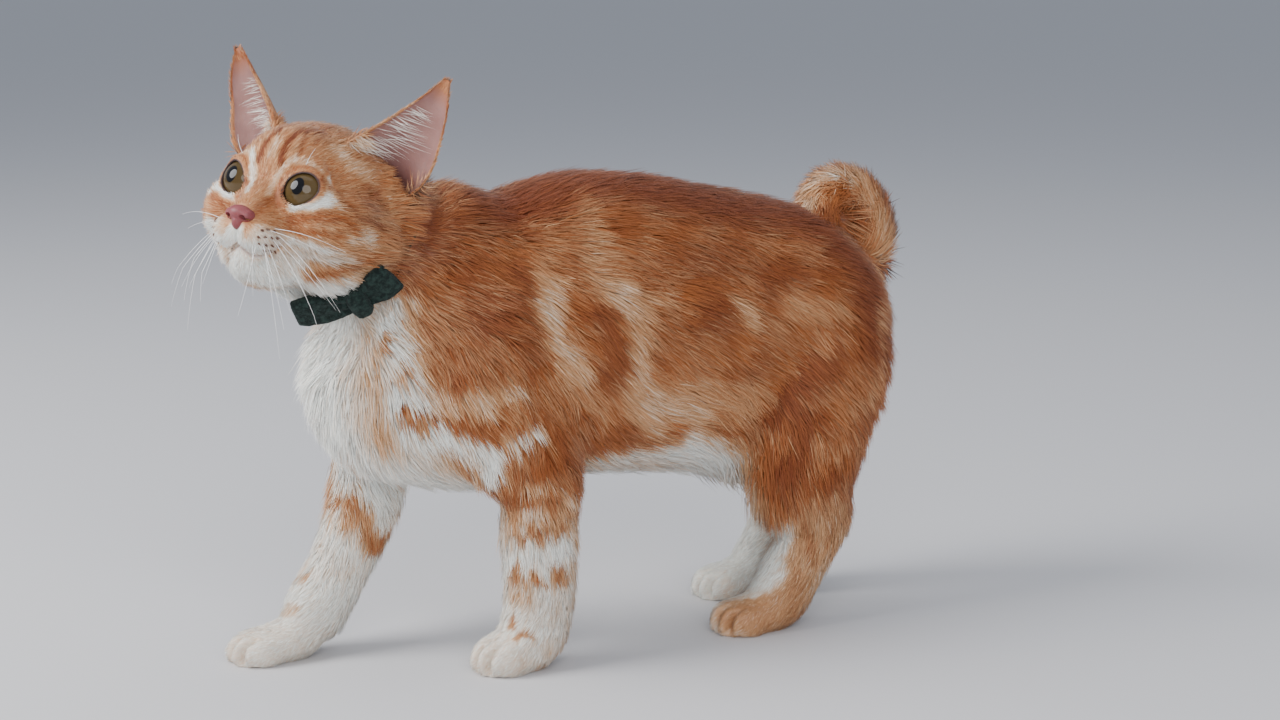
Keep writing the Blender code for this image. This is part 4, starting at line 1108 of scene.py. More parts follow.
collar = {"centre": (-139, -2, 202), "facing": (-0.78, -0.10, 0.62), "width": 10.0, "thick": 1.9,
          "proud": -0.2, "sunk": 6.5, "groove": 4.0, "reach": 60}


def inCollar(points):  # distance from the collar's middle plane, signed to the head
    return (points - np.array(collar["centre"])) @ unit(collar["facing"])


def isWorn(points):  # near enough for the collar to bear on it
    return away(points, collar["centre"]) < collar["reach"]


def tailFrame(points):  # distance to the tail's middle line, where along it, half width and way there
    path = smoothPath(tailPath, 60)
    last = len(path) - 1
    distance, share = toLine(points, path[:, :3])
    radius = np.interp(share, np.linspace(0, 1, len(path)), (path[:, 3] + path[:, 4]) / 2)
    step = np.clip((share * last).astype(int), 0, last - 2)
    return distance, share, radius, unit(path[step + 2 - (step > last - 3), :3] - path[step, :3])


def onTail(points):
    distance, share, radius, _ = tailFrame(points)
    return (distance < radius * np.interp(share, (0.12, 0.35), (0.88, 0.68))) & (share > 0.12)


def onEars(points):
    h = toHead(points)
    reach = away(h, (0, 0, 8))
    return (h[:, 2] > 22) & (np.abs(h[:, 1]) > 24) & (reach > 40) & (reach < 95)


def coatDensity(points):  # tufts for each square millimetre, by the last rule that holds
    h, z = toHead(points), points[:, 2]
    rules = ((z < 78, 1.9), (z < 25, 2.6), (isHead(points) & (h[:, 0] > -15), 2.3),
             (away(h, (28, 0, -5)) < 34, 3.6), (away(h, (40, 0, -12)) < 20, 4.6),
             (lidFigure(points) < 1.7, 8.0), (onEars(points) | onTail(points), 2.6), (z < 0.9, 0))
    rate = np.full(len(points), 1.3)
    for holds, value in rules:
        rate[holds] = value
    return rate * tuft["share"]


coatPieces = {  # name: an axis to unwrap about, from and to, in the cat's frame
    "coat_face": ((-215, -33, 225), (-150, 10, 223)), "coat_head": ((-200, -25, 225), (-130, 15, 222)),
    "coat_neck": ((-165, 0, 175), (-75, 0, 200)), "coat_chest": ((-150, 0, 90), (-150, 0, 190)),
    "coat_side_left": ((-90, 0, 150), (60, 0, 150)), "coat_side_right": ((-90, 0, 150), (60, 0, 150)),
    "coat_back_left": ((40, 0, 150), (180, 0, 150)), "coat_back_right": ((40, 0, 150), (180, 0, 150)),
    "coat_fore_left": ((-67, -40, 120), (-67, -40, 0)), "coat_fore_right": ((-115, 37, 120), (-160, 36, 0)),
    "coat_hind_left": ((92, -37, 100), (75, -36, 0)), "coat_hind_right": ((118, 35, 100), (100, 30, 0)),
    "coat_tail": ((146, 0, 150), (130, 0, 235)), "coat_ears": ((-165, -50, 230), (-165, 50, 280))
}


def pieceOf(points):  # the number of each point's piece, by the last rule that holds
    x, y, z = points.T
    band, wide = inCollar(points), np.abs(y)
    rules = ((x < 46, "coat_side_"), (x > 45, "coat_back_"), (band > -45, "coat_neck"),
             ((x < -100) & (z < 165) & (band < 0), "coat_chest"),
             ((z < 100) & (x < 0) & (wide > 16) & ((z < 78) | (wide > 42)), "coat_fore_"),
             ((z < 100) & (x > 30) & (wide > 12) & ((z < 80) | (wide > 40)), "coat_hind_"),
             ((band > 0) & (z > 140), "coat_head"),
             ((toHead(points)[:, 0] > 12) & (away(points, headCentre) < 70), "coat_face"),
             (onTail(points), "coat_tail"), (onEars(points), "coat_ears"))
    names = list(coatPieces)
    pick = np.zeros(len(points), int)
    for holds, name in rules:
        left, right = (names.index(name + end if name[-1] == "_" else name) for end in ("left", "right"))
        pick = np.where(holds, np.where(y < 0, left, right), pick)
    return pick


def unwrap(points, axis):  # round and along an axis: the skin's own shape rolled out
    start, end = (np.array(p, float) for p in axis)
    along = unit(end - start)
    across = unit(np.cross(along, (0.13, 0.07, 1.0) if abs(along[2]) < 0.9 else (0, 1, 0)))
    d = points - start
    angle = np.arctan2(d @ across, d @ np.cross(along, across)) / (2 * math.pi) + 0.5
    s = d @ along
    return 0.01 + 0.98 * np.stack([angle, (s - s.min()) / max(np.ptp(s), 1e-6)], 1)


def fromEars(points):  # distance to the backs of the ears
    tree = nearestOf(bothEars(1.0))
    best = np.full(len(points), 99.0)
    for k in np.nonzero(isHead(points))[0]:
        best[k] = tree.find(points[k])[2]
    return best


# Where the coat differs from what lies round it
tailRoot = {"place": (152, 0, 172), "wide": 22.0, "lie": (0.18, 0, -0.98), "longer": 6.0, "fuller": 4.0}
fringe = {"place": (53, 27, 82), "wide": (21, 16, 15), "longer": 7.0, "fuller": 15.0}
cheek = {"place": (-8, 34, -15), "wide": 17.0, "longer": 9.0, "fuller": 4.0}
ruff = {"reach": 13.0, "over": 2.5, "lift": 5.0, "rise": 1.2, "bowClear": 8.0, "earClear": 3.0}
noseBare = {"place": (44.5, 0, -6), "reach": 5.2}
earCoat = {"out": (0, 0.62, 0), "up": (-0.05, 0, 0.78), "length": 3.2, "depth": 0.6}


def rootedCoat(body, lipLine):  # a root for every tuft, what is near it, and the coat's own shape there
    root, normal = scatter(body, coatDensity, tuft["seed"])
    lie, length, depth = coatAt(root, normal)
    _, share, radius, curl = tailFrame(root)
    return SimpleNamespace(
        root=root, normal=normal, lie=lie, length=length, depth=depth, share=share, radius=radius, curl=curl,
        onHead=toHead(root), onEar=onEars(root), tail=onTail(root), lids=lidFigure(root), band=inCollar(root),
        worn=isWorn(root), fromLips=toLine(root, lipLine)[0], fromToes=betweenToes(root))


def kept(c):  # no hair in the ears' cups, on lids, lips and nose, under the collar or between the toes
    keep = (bareInEars(c.root, c.normal) < 0.3) & (c.lids > 1.05) & (c.fromLips > 1.1) & (c.fromToes > 0.9)
    keep &= (np.abs(c.band) > collar["width"] / 2) | ~c.worn
    return keep & (away(c.onHead, noseBare["place"]) > noseBare["reach"])


def comb(c, chosen, lie, length, depth):
    c.lie = np.where(chosen[:, None], unit(flatten(lie, c.normal)), c.lie)
    c.length, c.depth = np.where(chosen, length, c.length), np.where(chosen, depth, c.depth)


def fillOut(c, share, place):
    c.length, c.depth = c.length + place["longer"] * share, c.depth + place["fuller"] * share


def combTailAndEars(c):
    comb(c, c.tail, c.curl, 16 - 3 * c.share, c.radius * np.interp(c.share, (0.12, 0.4), (0.32, 0.56)))
    out = np.where(c.onHead[:, 1:2] > 0, 1, -1) * np.array(earCoat["out"])
    comb(c, c.onEar, unit(out + np.array(earCoat["up"])) @ headAxes.T, earCoat["length"], earCoat["depth"])
    near = np.clip((c.lids - 1.0) / 0.8, 0.55, 1) * np.clip(c.fromLips / 4, 0.5, 1)
    c.length, c.depth = c.length * near, c.depth * near


def fillRumpAndFringe(c):
    rump = bell(away(c.root, tailRoot["place"]), tailRoot["wide"])
    rump *= (c.root[:, 0] > 136) * ramp(-c.root[:, 2], -190, -174)
    down = unit(flatten(np.tile(tailRoot["lie"], (len(rump), 1)), c.normal))
    c.lie = unit(c.lie * (1 - rump[:, None]) + down * rump[:, None])
    fillOut(c, rump, tailRoot)
    low = (folded(c.root) - np.array(fringe["place"])) / np.array(fringe["wide"])
    fillOut(c, np.exp(-(low ** 2).sum(1)), fringe)


def hangOverCollar(c):  # answers how far the roots in front of the band are lifted
    behind = c.worn & (c.band < 0)
    c.length = np.where(behind, c.length * np.clip(-c.band / 22, 0.5, 1), c.length)
    c.depth = np.where(behind, c.depth * np.clip(-c.band / 15, 0.3, 1), c.depth)
    fillOut(c, bell(away(folded(c.onHead), cheek["place"]), cheek["wide"]) * (c.band > 0), cheek)
    hanging = c.worn & (c.band > 0) & (c.band < ruff["reach"]) & (fromEars(c.root) > ruff["earClear"])
    hanging &= away(c.root, bow["knot"]) > ruff["bowClear"]
    closer = np.where(hanging, 1 - c.band / ruff["reach"], 0)
    lift = (ruff["lift"] + c.depth * 0.3) * closer
    c.length = np.where(hanging, np.maximum(c.length * 0.9, c.band + ruff["over"]), c.length)
    c.depth = np.where(hanging, c.depth * (1 - 0.5 * closer) + ruff["rise"], c.depth)
    return lift


def ruffle(c, draw):
    c.lie = unit(c.lie + np.cross(c.normal, c.lie) * (0.30 * wander(c.root, 26, 11))[:, None])
    loose = draw.normal(0, 1, (len(c.root), 3)) * (0.18 + 0.4 * np.clip(c.share, 0, 0.5))[:, None]
    c.lie = np.where(c.tail[:, None], unit(c.lie + flatten(loose, c.normal)), c.lie)


def tint(c, strokes, tailStrokes, draw):
    tips = c.root + c.normal * c.depth[:, None] * 0.9 + c.lie * c.length[:, None] * 0.4
    white, dark = painted(tips, strokes)
    white[c.tail], dark[c.tail] = painted(tips[c.tail], strokes + tailStrokes)
    dark = dark + 0.45 * bell(c.lids - 1.0, 0.14)
    # darker along the mouth's line, and painted shade down between the toes
    crease = np.maximum(bell(c.fromLips, 2.0), 0.8 * bell(c.fromToes, 1.6))
    white, dark = white * (1 - 0.55 * crease), dark + 0.6 * crease
    c.white = np.clip(white + draw.normal(0, 0.11, len(white)) * (white > 0.03), 0, 1)
    c.dark = np.clip(dark + draw.normal(0, 0.13, len(dark)), 0, 1)


def vary(c, draw):  # each tuft's own length, height and width; some stand out by themselves
    n = len(c.root)
    c.length = c.length * draw.uniform(0.75, 1.15, n)
    c.rise = c.depth * draw.uniform(0.6, 1.0, n) + 0.15
    c.width = 0.24 + 0.0185 * c.length
    loner = (draw.uniform(0, 1, n) < 0.12) & ~c.onEar & ~c.tail & (c.lids > 1.6)
    c.rise = np.where(loner, c.rise * 1.45 + 0.4, c.rise)
    c.length = np.where(loner, c.length * 1.12, c.length)
    c.width = np.where(loner, c.width * 0.7, c.width)


def growCoat(body, strokes, tailStrokes, lipLine, hair):
    c = rootedCoat(body, lipLine)
    draw = np.random.default_rng(tuft["seed"] + 1)
    combTailAndEars(c)
    fillRumpAndFringe(c)
    lift = hangOverCollar(c)
    ruffle(c, draw)
    tint(c, strokes, tailStrokes, draw)
    vary(c, draw)
    keep, pick = kept(c), pieceOf(c.root)
    place = c.root + c.normal * (lift - tuft["sink"])[:, None]
    for k, (name, axis) in enumerate(coatPieces.items()):
        at = np.nonzero(keep & (pick == k))[0]
        uv = unwrap(c.root[at], axis)
        order = np.argsort(uv[:, 1], kind="stable")
        hairs = [v[at[order]] for v in (place, c.normal, c.lie, c.length, c.rise, c.width, c.white, c.dark)]
        clump = 0.2 if name in ("coat_face", "coat_ears") else tuft["clump"]
        obj = tuftMesh(name, hairs, uv[order], 100 + 10 * k, clump)
        setMaterial(obj, hair, "coat_cream" if name in ("coat_chest", "coat_fore_right") else "coat_red")
    print("coat:", keep.sum(), "tufts")


# Eyes: one moist ball each, its map measured out from the eye's axis
eyeLook = {"iris": (0.083, 0.051, 0.016, 1), "irisInner": (0.038, 0.024, 0.009, 1),
           "irisPale": (0.130, 0.085, 0.035, 1), "ring": (0.022, 0.014, 0.008, 1),
           "black": (0.004, 0.004, 0.005, 1), "pupil": (0.27, 0.37), "irisEdge": 0.86, "bulge": 0.05,
           "gaze": (9.0, 15.0)}


def eyeMaterial():
    made, tree = nodeSet("eye")
    place = add(tree, "ShaderNodeUVMap", uv_map="eyeMap").outputs[0]
    parts = add(tree, "ShaderNodeSeparateXYZ", Vector=place)
    x, y = (calc(tree, "SUBTRACT", parts.outputs[k], 0.5) for k in (0, 1))
    r = lengthOf(tree, (x, y))
    inPupil = lengthOf(tree, [calc(tree, "DIVIDE", v, wide / 2) for v, wide in zip((x, y), eyeLook["pupil"])])
    angle = calc(tree, "MULTIPLY", calc(tree, "ARCTAN2", y, x), 9.0)
    polar = add(tree, "ShaderNodeCombineXYZ", X=angle, Y=calc(tree, "MULTIPLY", r, 6.0)).outputs[0]
    threads = add(tree, "ShaderNodeTexNoise", Vector=polar, Scale=3.0, Detail=4.0).outputs[0]
    iris = mixColour(tree, threads, eyeLook["irisInner"], eyeLook["iris"])
    paler = mixColour(tree, 0.6, iris, eyeLook["irisPale"])
    iris = mixColour(tree, spanned(tree, r, 0.18, 0.42), iris, paler)
    edge = eyeLook["irisEdge"] / 2
    iris = mixColour(tree, spanned(tree, r, edge - 0.05, edge), iris, eyeLook["ring"])
    surface(tree, {"Base Color": mixColour(tree, spanned(tree, inPupil, 1.06, 0.97), iris, eyeLook["black"]),
                   "Roughness": 0.4, "Specular IOR Level": 0.0, "Coat Weight": 1.0, "Coat Roughness": 0.02,
                   "Coat IOR": 1.38})
    return made


def eyeball(name, side, look):
    bm = bmesh.new()
    bmesh.ops.create_uvsphere(bm, u_segments=64, v_segments=40, radius=1.0)
    local = np.array([v.co for v in bm.verts])
    faces = [np.array([[v.index for v in f.verts] for f in bm.faces if len(f.verts) == k]) for k in (4, 3)]
    bm.free()
    across, up, axis = eyeFrame(side, eyeLook["gaze"])
    swell = 1 + eyeLook["bulge"] * ramp(local[:, 2:], 0.55, 1.0) ** 1.5
    rows = eyeCentre(side) + eye["radius"] * swell * (local @ np.array((across * side, up, axis)))
    obj = facingOut(meshFrom(name, fromHead(rows), *faces))
    flat = np.where(local[:, 2:] > 0, local[:, :2], unit(local[:, :2])) / 2 + 0.5
    addMap(obj, "eyeMap", flat[readRows(obj.data.loops, "vertex_index", 1, np.int32).ravel()])
    obj.data.shade_smooth()
    setMaterial(obj, look, "eye", name)


# Nose leather
nose = {"voxel": 0.4, "colour": (0.27, 0.060, 0.066, 1), "edge": (0.15, 0.030, 0.034, 1),
        "middle": (((43.0, 0, -4.6), (4.8, 5.8, 3.6)), ((43.0, 0, -8.4), (3.8, 2.8, 4.0))),
        "wing": ((42.4, 3.9, -5.4), (4.4, 3.3, 3.0)),
        "holes": (((46.6, 3.9, -6.3), (3.0, 1.5, 1.1)), ((45.0, 5.3, -6.9), (2.6, 2.0, 0.5)))}


def onSide(place, side):
    return place[0], place[1] * side, place[2]


def noseMaterial():
    made, tree = nodeSet("nose leather")
    pebbles = add(tree, "ShaderNodeTexVoronoi", Vector=onObject(tree), Scale=1400.0).outputs["Distance"]
    surface(tree, {"Base Color": mixColour(tree, noise(tree, 260.0, 3.0), nose["edge"], nose["colour"]),
                   "Normal": bump(tree, pebbles, 0.25, 0.0003), "Roughness": 0.5,
                   "Subsurface Weight": 0.15, "Subsurface Scale": 0.0015})
    return made


def noseLeather():
    forms = [ball("middle", *form) for form in nose["middle"]]
    place, radii = nose["wing"]
    forms += [ball("wing", onSide(place, side), radii) for side in (1, -1)]
    obj = joined("nose", forms)
    modify(obj, "REMESH", mode="VOXEL", voxel_size=nose["voxel"] * mm)
    modify(obj, "SMOOTH", factor=0.5, iterations=6)
    for side in (1, -1):
        for place, radii in nose["holes"]:
            carve(obj, ball("hole", onSide(place, side), radii, detail=3))
    obj.data.shade_smooth()
    setMaterial(obj, noseMaterial(), "nose_leather", "nose")


# Collar and bow of dark green wool cloth
cloth = {"dark": (0.0012, 0.0035, 0.003, 1), "light": (0.017, 0.032, 0.027, 1),
         "fleck": (0.045, 0.07, 0.062, 1)}


def clothMaterial():
    made, tree = nodeSet("wool cloth")
    patches, fibres = noise(tree, 420.0, 5.0, Roughness=0.7), noise(tree, 2600.0, 3.0)
    base = mixColour(tree, spanned(tree, patches, 0.42, 0.62), cloth["dark"], cloth["light"])
    flecked = mixColour(tree, calc(tree, "MULTIPLY", fibres, 0.25), base, cloth["fleck"])
    nap = bump(tree, calc(tree, "ADD", patches, fibres), 0.6, 0.0005)
    surface(tree, {"Base Color": flecked, "Normal": nap, "Roughness": 0.92, "Sheen Weight": 0.04,
                   "Sheen Roughness": 0.6, "Specular IOR Level": 0.1})
    return made


bow = {"knot": (-153.8, -31.5, 182.6), "height": (10.5, 17.8), "depth": (5.0, 6.5), "start": 2.5,
       "arms": {"bow_left": ((0.50, -0.38, 0.50), 20.0, 0.26),
                "bow_right": ((-0.80, 0.60, -0.20), 31.0, 0.5)},
       "knotRadii": (5.2, 6.0, 8.0), "pleats": 3.0, "pleatDepth": 0.55, "wool": 0.25,
       "around": 64, "along": 44, "knotAround": 48, "knotAlong": 34}  # arms: direction, length, taper


def bowFrame(direction):
    out = unit(direction)
    facing = np.array(collar["facing"])
    high = unit(facing - out * (facing @ out))
    return out, high, np.cross(out, high)


def sewn(name, rings, seed, look):
    obj = tube(name, rings)
    pushOut(obj, bow["wool"] * wander(pointsOf(obj), 1.6, seed))
    obj.data.shade_smooth()
    setMaterial(obj, look, "bow_cloth", name)


def swollen(sizes, swell):
    return (sizes[0] + (sizes[1] - sizes[0]) * swell) / 2


def bowArm(name, look):
    direction, length, taper = bow["arms"][name]
    out, high, deep = bowFrame(direction)
    a = turns(bow["around"])
    rings = []
    for u in np.arange(bow["along"]) / (bow["along"] - 1):
        swell = math.sin(math.pi / 2 * min(u / 0.7, 1.0)) ** 1.3
        swell = swell * (1 - taper * max(0, (u - 0.45) / 0.55) ** 1.6)
        end = math.sqrt(max(1 - max(0, (u - 0.9) / 0.1) ** 2, 0.0)) * 0.5 + 0.5
        height = swollen(bow["height"], swell) * (0.93 + 0.07 * end)
        y = power(np.sin(a), 0.7) * height
        x = power(np.cos(a), 0.6) * swollen(bow["depth"], swell) * end
        x = x * (1 - 0.35 * (1 - u) * np.cos(y / height * math.pi / 2))
        pleat = bow["pleatDepth"] * max(0.0, 1 - u * 1.25)
        x = x + np.sign(np.cos(a)) * pleat * np.cos(y / height * math.pi * bow["pleats"])
        middle = np.array(bow["knot"]) + out * (bow["start"] + u * (length - bow["start"]))
        rings.append(middle + y[:, None] * high + x[:, None] * deep)
    sewn(name, rings, 21, look)


def bowKnot(look):
    left, right = (unit(bow["arms"][name][0]) for name in ("bow_left", "bow_right"))
    out, high, deep = bowFrame(left - right)
    wide, thick, tall = bow["knotRadii"]
    a = turns(bow["knotAround"])
    rings = []
    for t in np.linspace(-1, 1, bow["knotAlong"]):
        girth = max(1 - abs(t) ** 3.2, 0.02) ** 0.42 * (1 - 0.06 * np.cos(3 * a + t * 2) ** 8)
        x, y = power(np.cos(a), 0.8) * wide * girth, power(np.sin(a), 0.8) * thick * girth
        rings.append(np.array(bow["knot"]) + high * t * tall * 0.97 + x[:, None] * out + y[:, None] * deep)
    sewn("bow_knot", rings, 22, look)


def collarBand(outline, look):  # a fine band round the neck, on the outline drawn in a little
    modify(outline, "SMOOTH", factor=0.5, iterations=4)
    tree = surfaceOf(outline)
    removeAll([outline])
    centre, facing = np.array(collar["centre"], float), unit(collar["facing"])
    side = unit(np.cross(facing, (0, 1, 0)))
    a = turns(160)[:, None]
    out = side * np.cos(a) + np.cross(facing, side) * np.sin(a)
    hits = [tree.ray_cast(Vector(toRow(centre)), Vector(row))[0] for row in out]
    reach = np.array([np.linalg.norm(toCat(np.array(hit)) - centre) for hit in hits])
    reach = sum(np.roll(reach, k) for k in range(-4, 5)) / 9
    half, thick = collar["width"] / 2 - 0.4, collar["thick"] / 2
    b = turns(20)
    across, high = power(np.cos(b), 0.35) * half, power(np.sin(b), 0.6) * thick
    sunk = collar["sunk"] * np.clip((0.88 - out @ unit(np.array(bow["knot"]) - centre)) / 0.35, 0, 1)
    stand = (reach - thick + collar["proud"] - sunk)[:, None] + high
    rows = centre + out[:, None] * stand[:, :, None] + facing * across[:, None]
    n, k = rows.shape[:2]
    i, j = np.meshgrid(np.arange(n), np.arange(k), indexing="ij")
    after, beside = (i + 1) % n * k, (j + 1) % k
    quads = np.stack([i * k + j, i * k + beside, after + beside, after + j], -1).reshape(-1, 4)
    obj = facingOut(meshFrom("collar_band", rows.reshape(-1, 3), quads))
    obj.data.shade_smooth()
    setMaterial(obj, look, "collar_cloth", "collar")


# Long hairs across each ear, pale tufts at its front and short ones along its rim
earHair = {  # how many, from and to up the ear, how many columns in from the edge
    "across": (75, (0.14, 0.76), 6.5), "front": (260, (0.0, 0.34), 3.0), "rim": (700, (0.10, 0.99), 1.5)}


def earHairAt(kind, side, grid, draw):  # root, normal, lie, length, rise, width, white, place on the map
    rows, columns = ear["rows"], ear["columns"]
    facing = unit(earFacing(side))
    _, span, reach = earHair[kind]
    v = draw.uniform(*span)
    i, j = int(v * rows), int(draw.uniform(0, reach))
    if kind == "rim" and draw.uniform() < 0.5:
        j = columns - j
    spread = grid[i, columns] - grid[i, 0]
    edge = j if kind == "rim" else 0
    rise = unit(grid[min(i + 2, rows), edge] - grid[max(i - 1, 0), edge])
    root, normal, white = grid[i, j], facing, 0.9
    if kind == "across":
        lie = unit(spread) + rise * draw.normal(0.31, 0.08)
        long = np.linalg.norm(spread) * draw.uniform(0.35, 0.80)
        high, width = draw.uniform(0.2, 2.2) - 0.5, 0.17
    elif kind == "rim":
        normal = unit(spread) * (-1 if j < columns / 2 else 1)
        lie = rise + normal * draw.normal(0.03, 0.07) + facing * draw.normal(0, 0.10)
        root = root - facing * draw.uniform(0, 0.8)
        long = draw.uniform(2.5, 4.5)
        high, width, white = draw.uniform(0.0, 0.3), 0.28, draw.uniform(0.2, 0.6)
    else:
        lie = unit(spread) * 0.9 + rise * draw.normal(0.02, 0.22) - facing * 0.1
        long = draw.uniform(5, 12)
        root = root + facing * draw.uniform(0, 1.5)
        high, width, white = draw.uniform(0.3, 2.0), 0.22, draw.uniform(0.3, 0.85)
    place = (0.01 + 0.48 * (v + (0.0 if side > 0 else 1.0)), 0.02 + 0.9 * j / columns)
    return root, normal, unit(lie), long, high, width, white, place


def hairInEars(hair):
    draw = np.random.default_rng(31)
    parts = []
    for side in (1, -1):
        grid = earGrid(side, 0.0)
        for kind, (count, _, _) in earHair.items():
            parts += [earHairAt(kind, side, grid, draw) for _ in range(count)]
    root, normal, lie, *sizes, uv = (np.array(column, float) for column in zip(*parts))
    lie = lie @ headAxes.T
    normal = unit(flatten(normal @ headAxes.T, lie))
    hairs = (fromHead(root), normal, lie, *sizes, np.zeros(len(root)))
    setMaterial(tuftMesh("coat_ear_hair", hairs, uv, 32, 0.25), hair, "coat_cream")


# The dark roots of the whiskers
dots = {"each": 4, "apart": 0.22, "sunk": 0.7, "middle": (30, 0, -13), "length": 1.9, "wide": 0.85,
        "dark": (0.06, 0.022, 0.014, 1), "light": (0.16, 0.07, 0.045, 1),
        "pixels": ((322, 797), (346, 795), (372, 800), (310, 822), (335, 825), (360, 828), (386, 827),
                   (312, 850), (338, 856), (363, 860), (388, 863), (332, 880), (357, 883), (380, 887))}


def dotMaterial():
    made, tree = nodeSet("whisker roots")
    surface(tree, {"Base Color": mixColour(tree, noise(tree, 700.0, 2.0), dots["dark"], dots["light"]),
                   "Roughness": 0.8})
    return made


def whiskerDots(tree):
    near = strokeLine(tree, fromCloseUp(dots["pixels"]))
    places = np.repeat(np.vstack([near, mirrored(near, True)]), dots["each"], 0)
    places = places + np.random.default_rng(5).normal(0, dots["apart"], places.shape)
    n = len(places)
    normal = unit(places - fromHead(dots["middle"]))
    lie = unit(flatten(fromNose(toHead(places)) @ headAxes.T, normal))
    sizes = [np.full(n, float(v)) for v in (dots["length"], dots["wide"], dots["wide"], 0, 1)]
    uv = np.stack([0.1 + 0.8 * np.arange(n) / n, np.full(n, 0.5)], 1)
    obj = tuftMesh("whisker_dots", (places - normal * dots["sunk"], normal, lie, *sizes), uv, 6, 0)
    setMaterial(obj, dotMaterial(), "coat_red")


# Whiskers: their lines laid in the head's frame, thickened by a node tree
whisker = {"Thickness": 0.00015, "Tip": 0.22, "Sides": 6, "points": 16, "seed": 12, "sunk": 1.5,
           "low": (-197.0, -61.0), "soft": 8.0, "dark": (0.84, 0.81, 0.77, 1), "light": (0.95, 0.95, 0.94, 1)}
whiskerSet = [  # root, direction, length, how much it droops, how much it turns back; made on both sides
    ((34, 15.5, -11.5), (-0.15, 0.85, -0.50), 42, 0.30, 0.10),
    ((37, 14.5, -13.0), (-0.05, 0.78, -0.62), 46, 0.32, 0.0),
    ((39, 13.5, -10.0), (-0.30, 0.92, -0.06), 27, 0.15, 0.15),
    ((40, 12.8, -15.5), (0.02, 0.42, -0.90), 46, 0.12, 0.0),
    ((42, 10.5, -17.0), (0.20, 0.16, -0.96), 30, 0.10, -0.1),
    ((41, 11.5, -14.0), (0.05, 0.62, -0.78), 36, 0.25, 0.0),
    ((36, 15.2, -9.0), (-0.20, 0.93, 0.12), 34, 0.25, 0.2),
    ((33, 16.0, -14.5), (-0.22, 0.78, -0.60), 38, 0.22, 0.2),
    ((43, 9.0, -16.0), (0.12, 0.30, -0.95), 22, 0.10, 0.0),
    ((38, 14.0, -17.0), (-0.05, 0.55, -0.84), 28, 0.15, 0.0),
    ((25, 18.5, 22.5), (0.42, 0.42, 0.80), 9, -0.05, 0.35)
]


def softLimit(values, limit):  # bends values off before the limit, which they approach
    over = limit - values
    return np.where(over > 0, limit - whisker["soft"] * 0.25 * np.tanh(over / whisker["soft"]), values)


def whiskerLines():
    draw = np.random.default_rng(whisker["seed"])
    rows, edges = [], []
    t = np.linspace(0, 1, whisker["points"])[:, None]
    for root, direction, length, droop, back in whiskerSet:
        for side in (1, -1):
            d = unit(np.array(direction) + draw.normal(0, 0.05, 3)) * (1, side, 1)
            bent = d * t - np.array((back, 0, droop)) * t ** 2
            line = np.array(root) * (1, side, 1) - unit(d) * whisker["sunk"]
            line = fromHead(line + length * draw.uniform(0.9, 1.08) * bent) + catShift
            for axis, limit in enumerate(whisker["low"]):
                line[:, axis] = softLimit(line[:, axis], limit)
            start = len(rows)
            rows += list(line - catShift)
            edges += [(start + k, start + k + 1) for k in range(whisker["points"] - 1)]
    return np.array(rows), edges


def whiskerTree(look):
    tree = bpy.data.node_groups.new("whiskers", "GeometryNodeTree")
    for name, way, kind in (("Geometry", "INPUT", "Geometry"), ("Thickness", "INPUT", "Float"),
                            ("Tip", "INPUT", "Float"), ("Sides", "INPUT", "Int"),
                            ("Geometry", "OUTPUT", "Geometry")):
        tree.interface.new_socket(name, in_out=way, socket_type="NodeSocket" + kind)
    given = add(tree, "NodeGroupInput").outputs
    curve = add(tree, "GeometryNodeMeshToCurve", Mesh=given["Geometry"]).outputs[0]
    along = add(tree, "GeometryNodeSplineParameter").outputs["Factor"]
    taper = add(tree, "ShaderNodeMapRange", Value=along, **{"To Min": 1.0, "To Max": given["Tip"]}).outputs[0]
    wide = calc(tree, "MULTIPLY", taper, given["Thickness"])
    line = add(tree, "GeometryNodeSetCurveRadius", Curve=curve, Radius=wide).outputs[0]
    ring = add(tree, "GeometryNodeCurvePrimitiveCircle", Resolution=given["Sides"], Radius=1.0).outputs[0]
    solid = add(tree, "GeometryNodeCurveToMesh", Curve=line, Scale=wide,
                **{"Profile Curve": ring, "Fill Caps": True}).outputs[0]
    real = add(tree, "GeometryNodeRealizeInstances", Geometry=solid).outputs[0]
    dressed = add(tree, "GeometryNodeSetMaterial", Geometry=real, Material=look).outputs[0]
    tree.links.new(dressed, add(tree, "NodeGroupOutput").inputs[0])
    return tree


def whiskers():
    made, tree = nodeSet("whisker")
    surface(tree, {"Base Color": mixColour(tree, noise(tree, 300.0, 2.0), whisker["dark"], whisker["light"]),
                   "Roughness": 0.35})
    rows, edges = whiskerLines()
    mesh = bpy.data.meshes.new("whiskers")
    mesh.from_pydata([tuple(p) for p in toRow(rows)], edges, [])
    obj = addObject("whiskers", mesh)
    modifier = obj.modifiers.new("Whiskers", "NODES")
    modifier.node_group = whiskerTree(made)
    for item in modifier.node_group.interface.items_tree:
        if item.item_type == "SOCKET" and item.in_out == "INPUT" and item.name in whisker:
            modifier[item.identifier] = whisker[item.name]
    fixed(obj).data.shade_smooth()
    print("whiskers", len(obj.data.polygons), "faces")
    setMaterial(obj, made, "coat_cream")


# Floor, lamps and sky
lamps = {"key": ((-1.7, 0.35, 1.3), 1.43, 60), "front": ((-0.7, -1.9, 1.0), 1.76, 36),
         "top": ((0.3, 0.2, 2.0), 1.98, 9)}  # place, size, power
studio = {"floor": (0.62, 0.61, 0.62, 1), "half": 40.0, "aim": (0, 0, 0.16), "sky": (0.78, 0.86, 1.0, 1),
          "skyPower": 0.5}


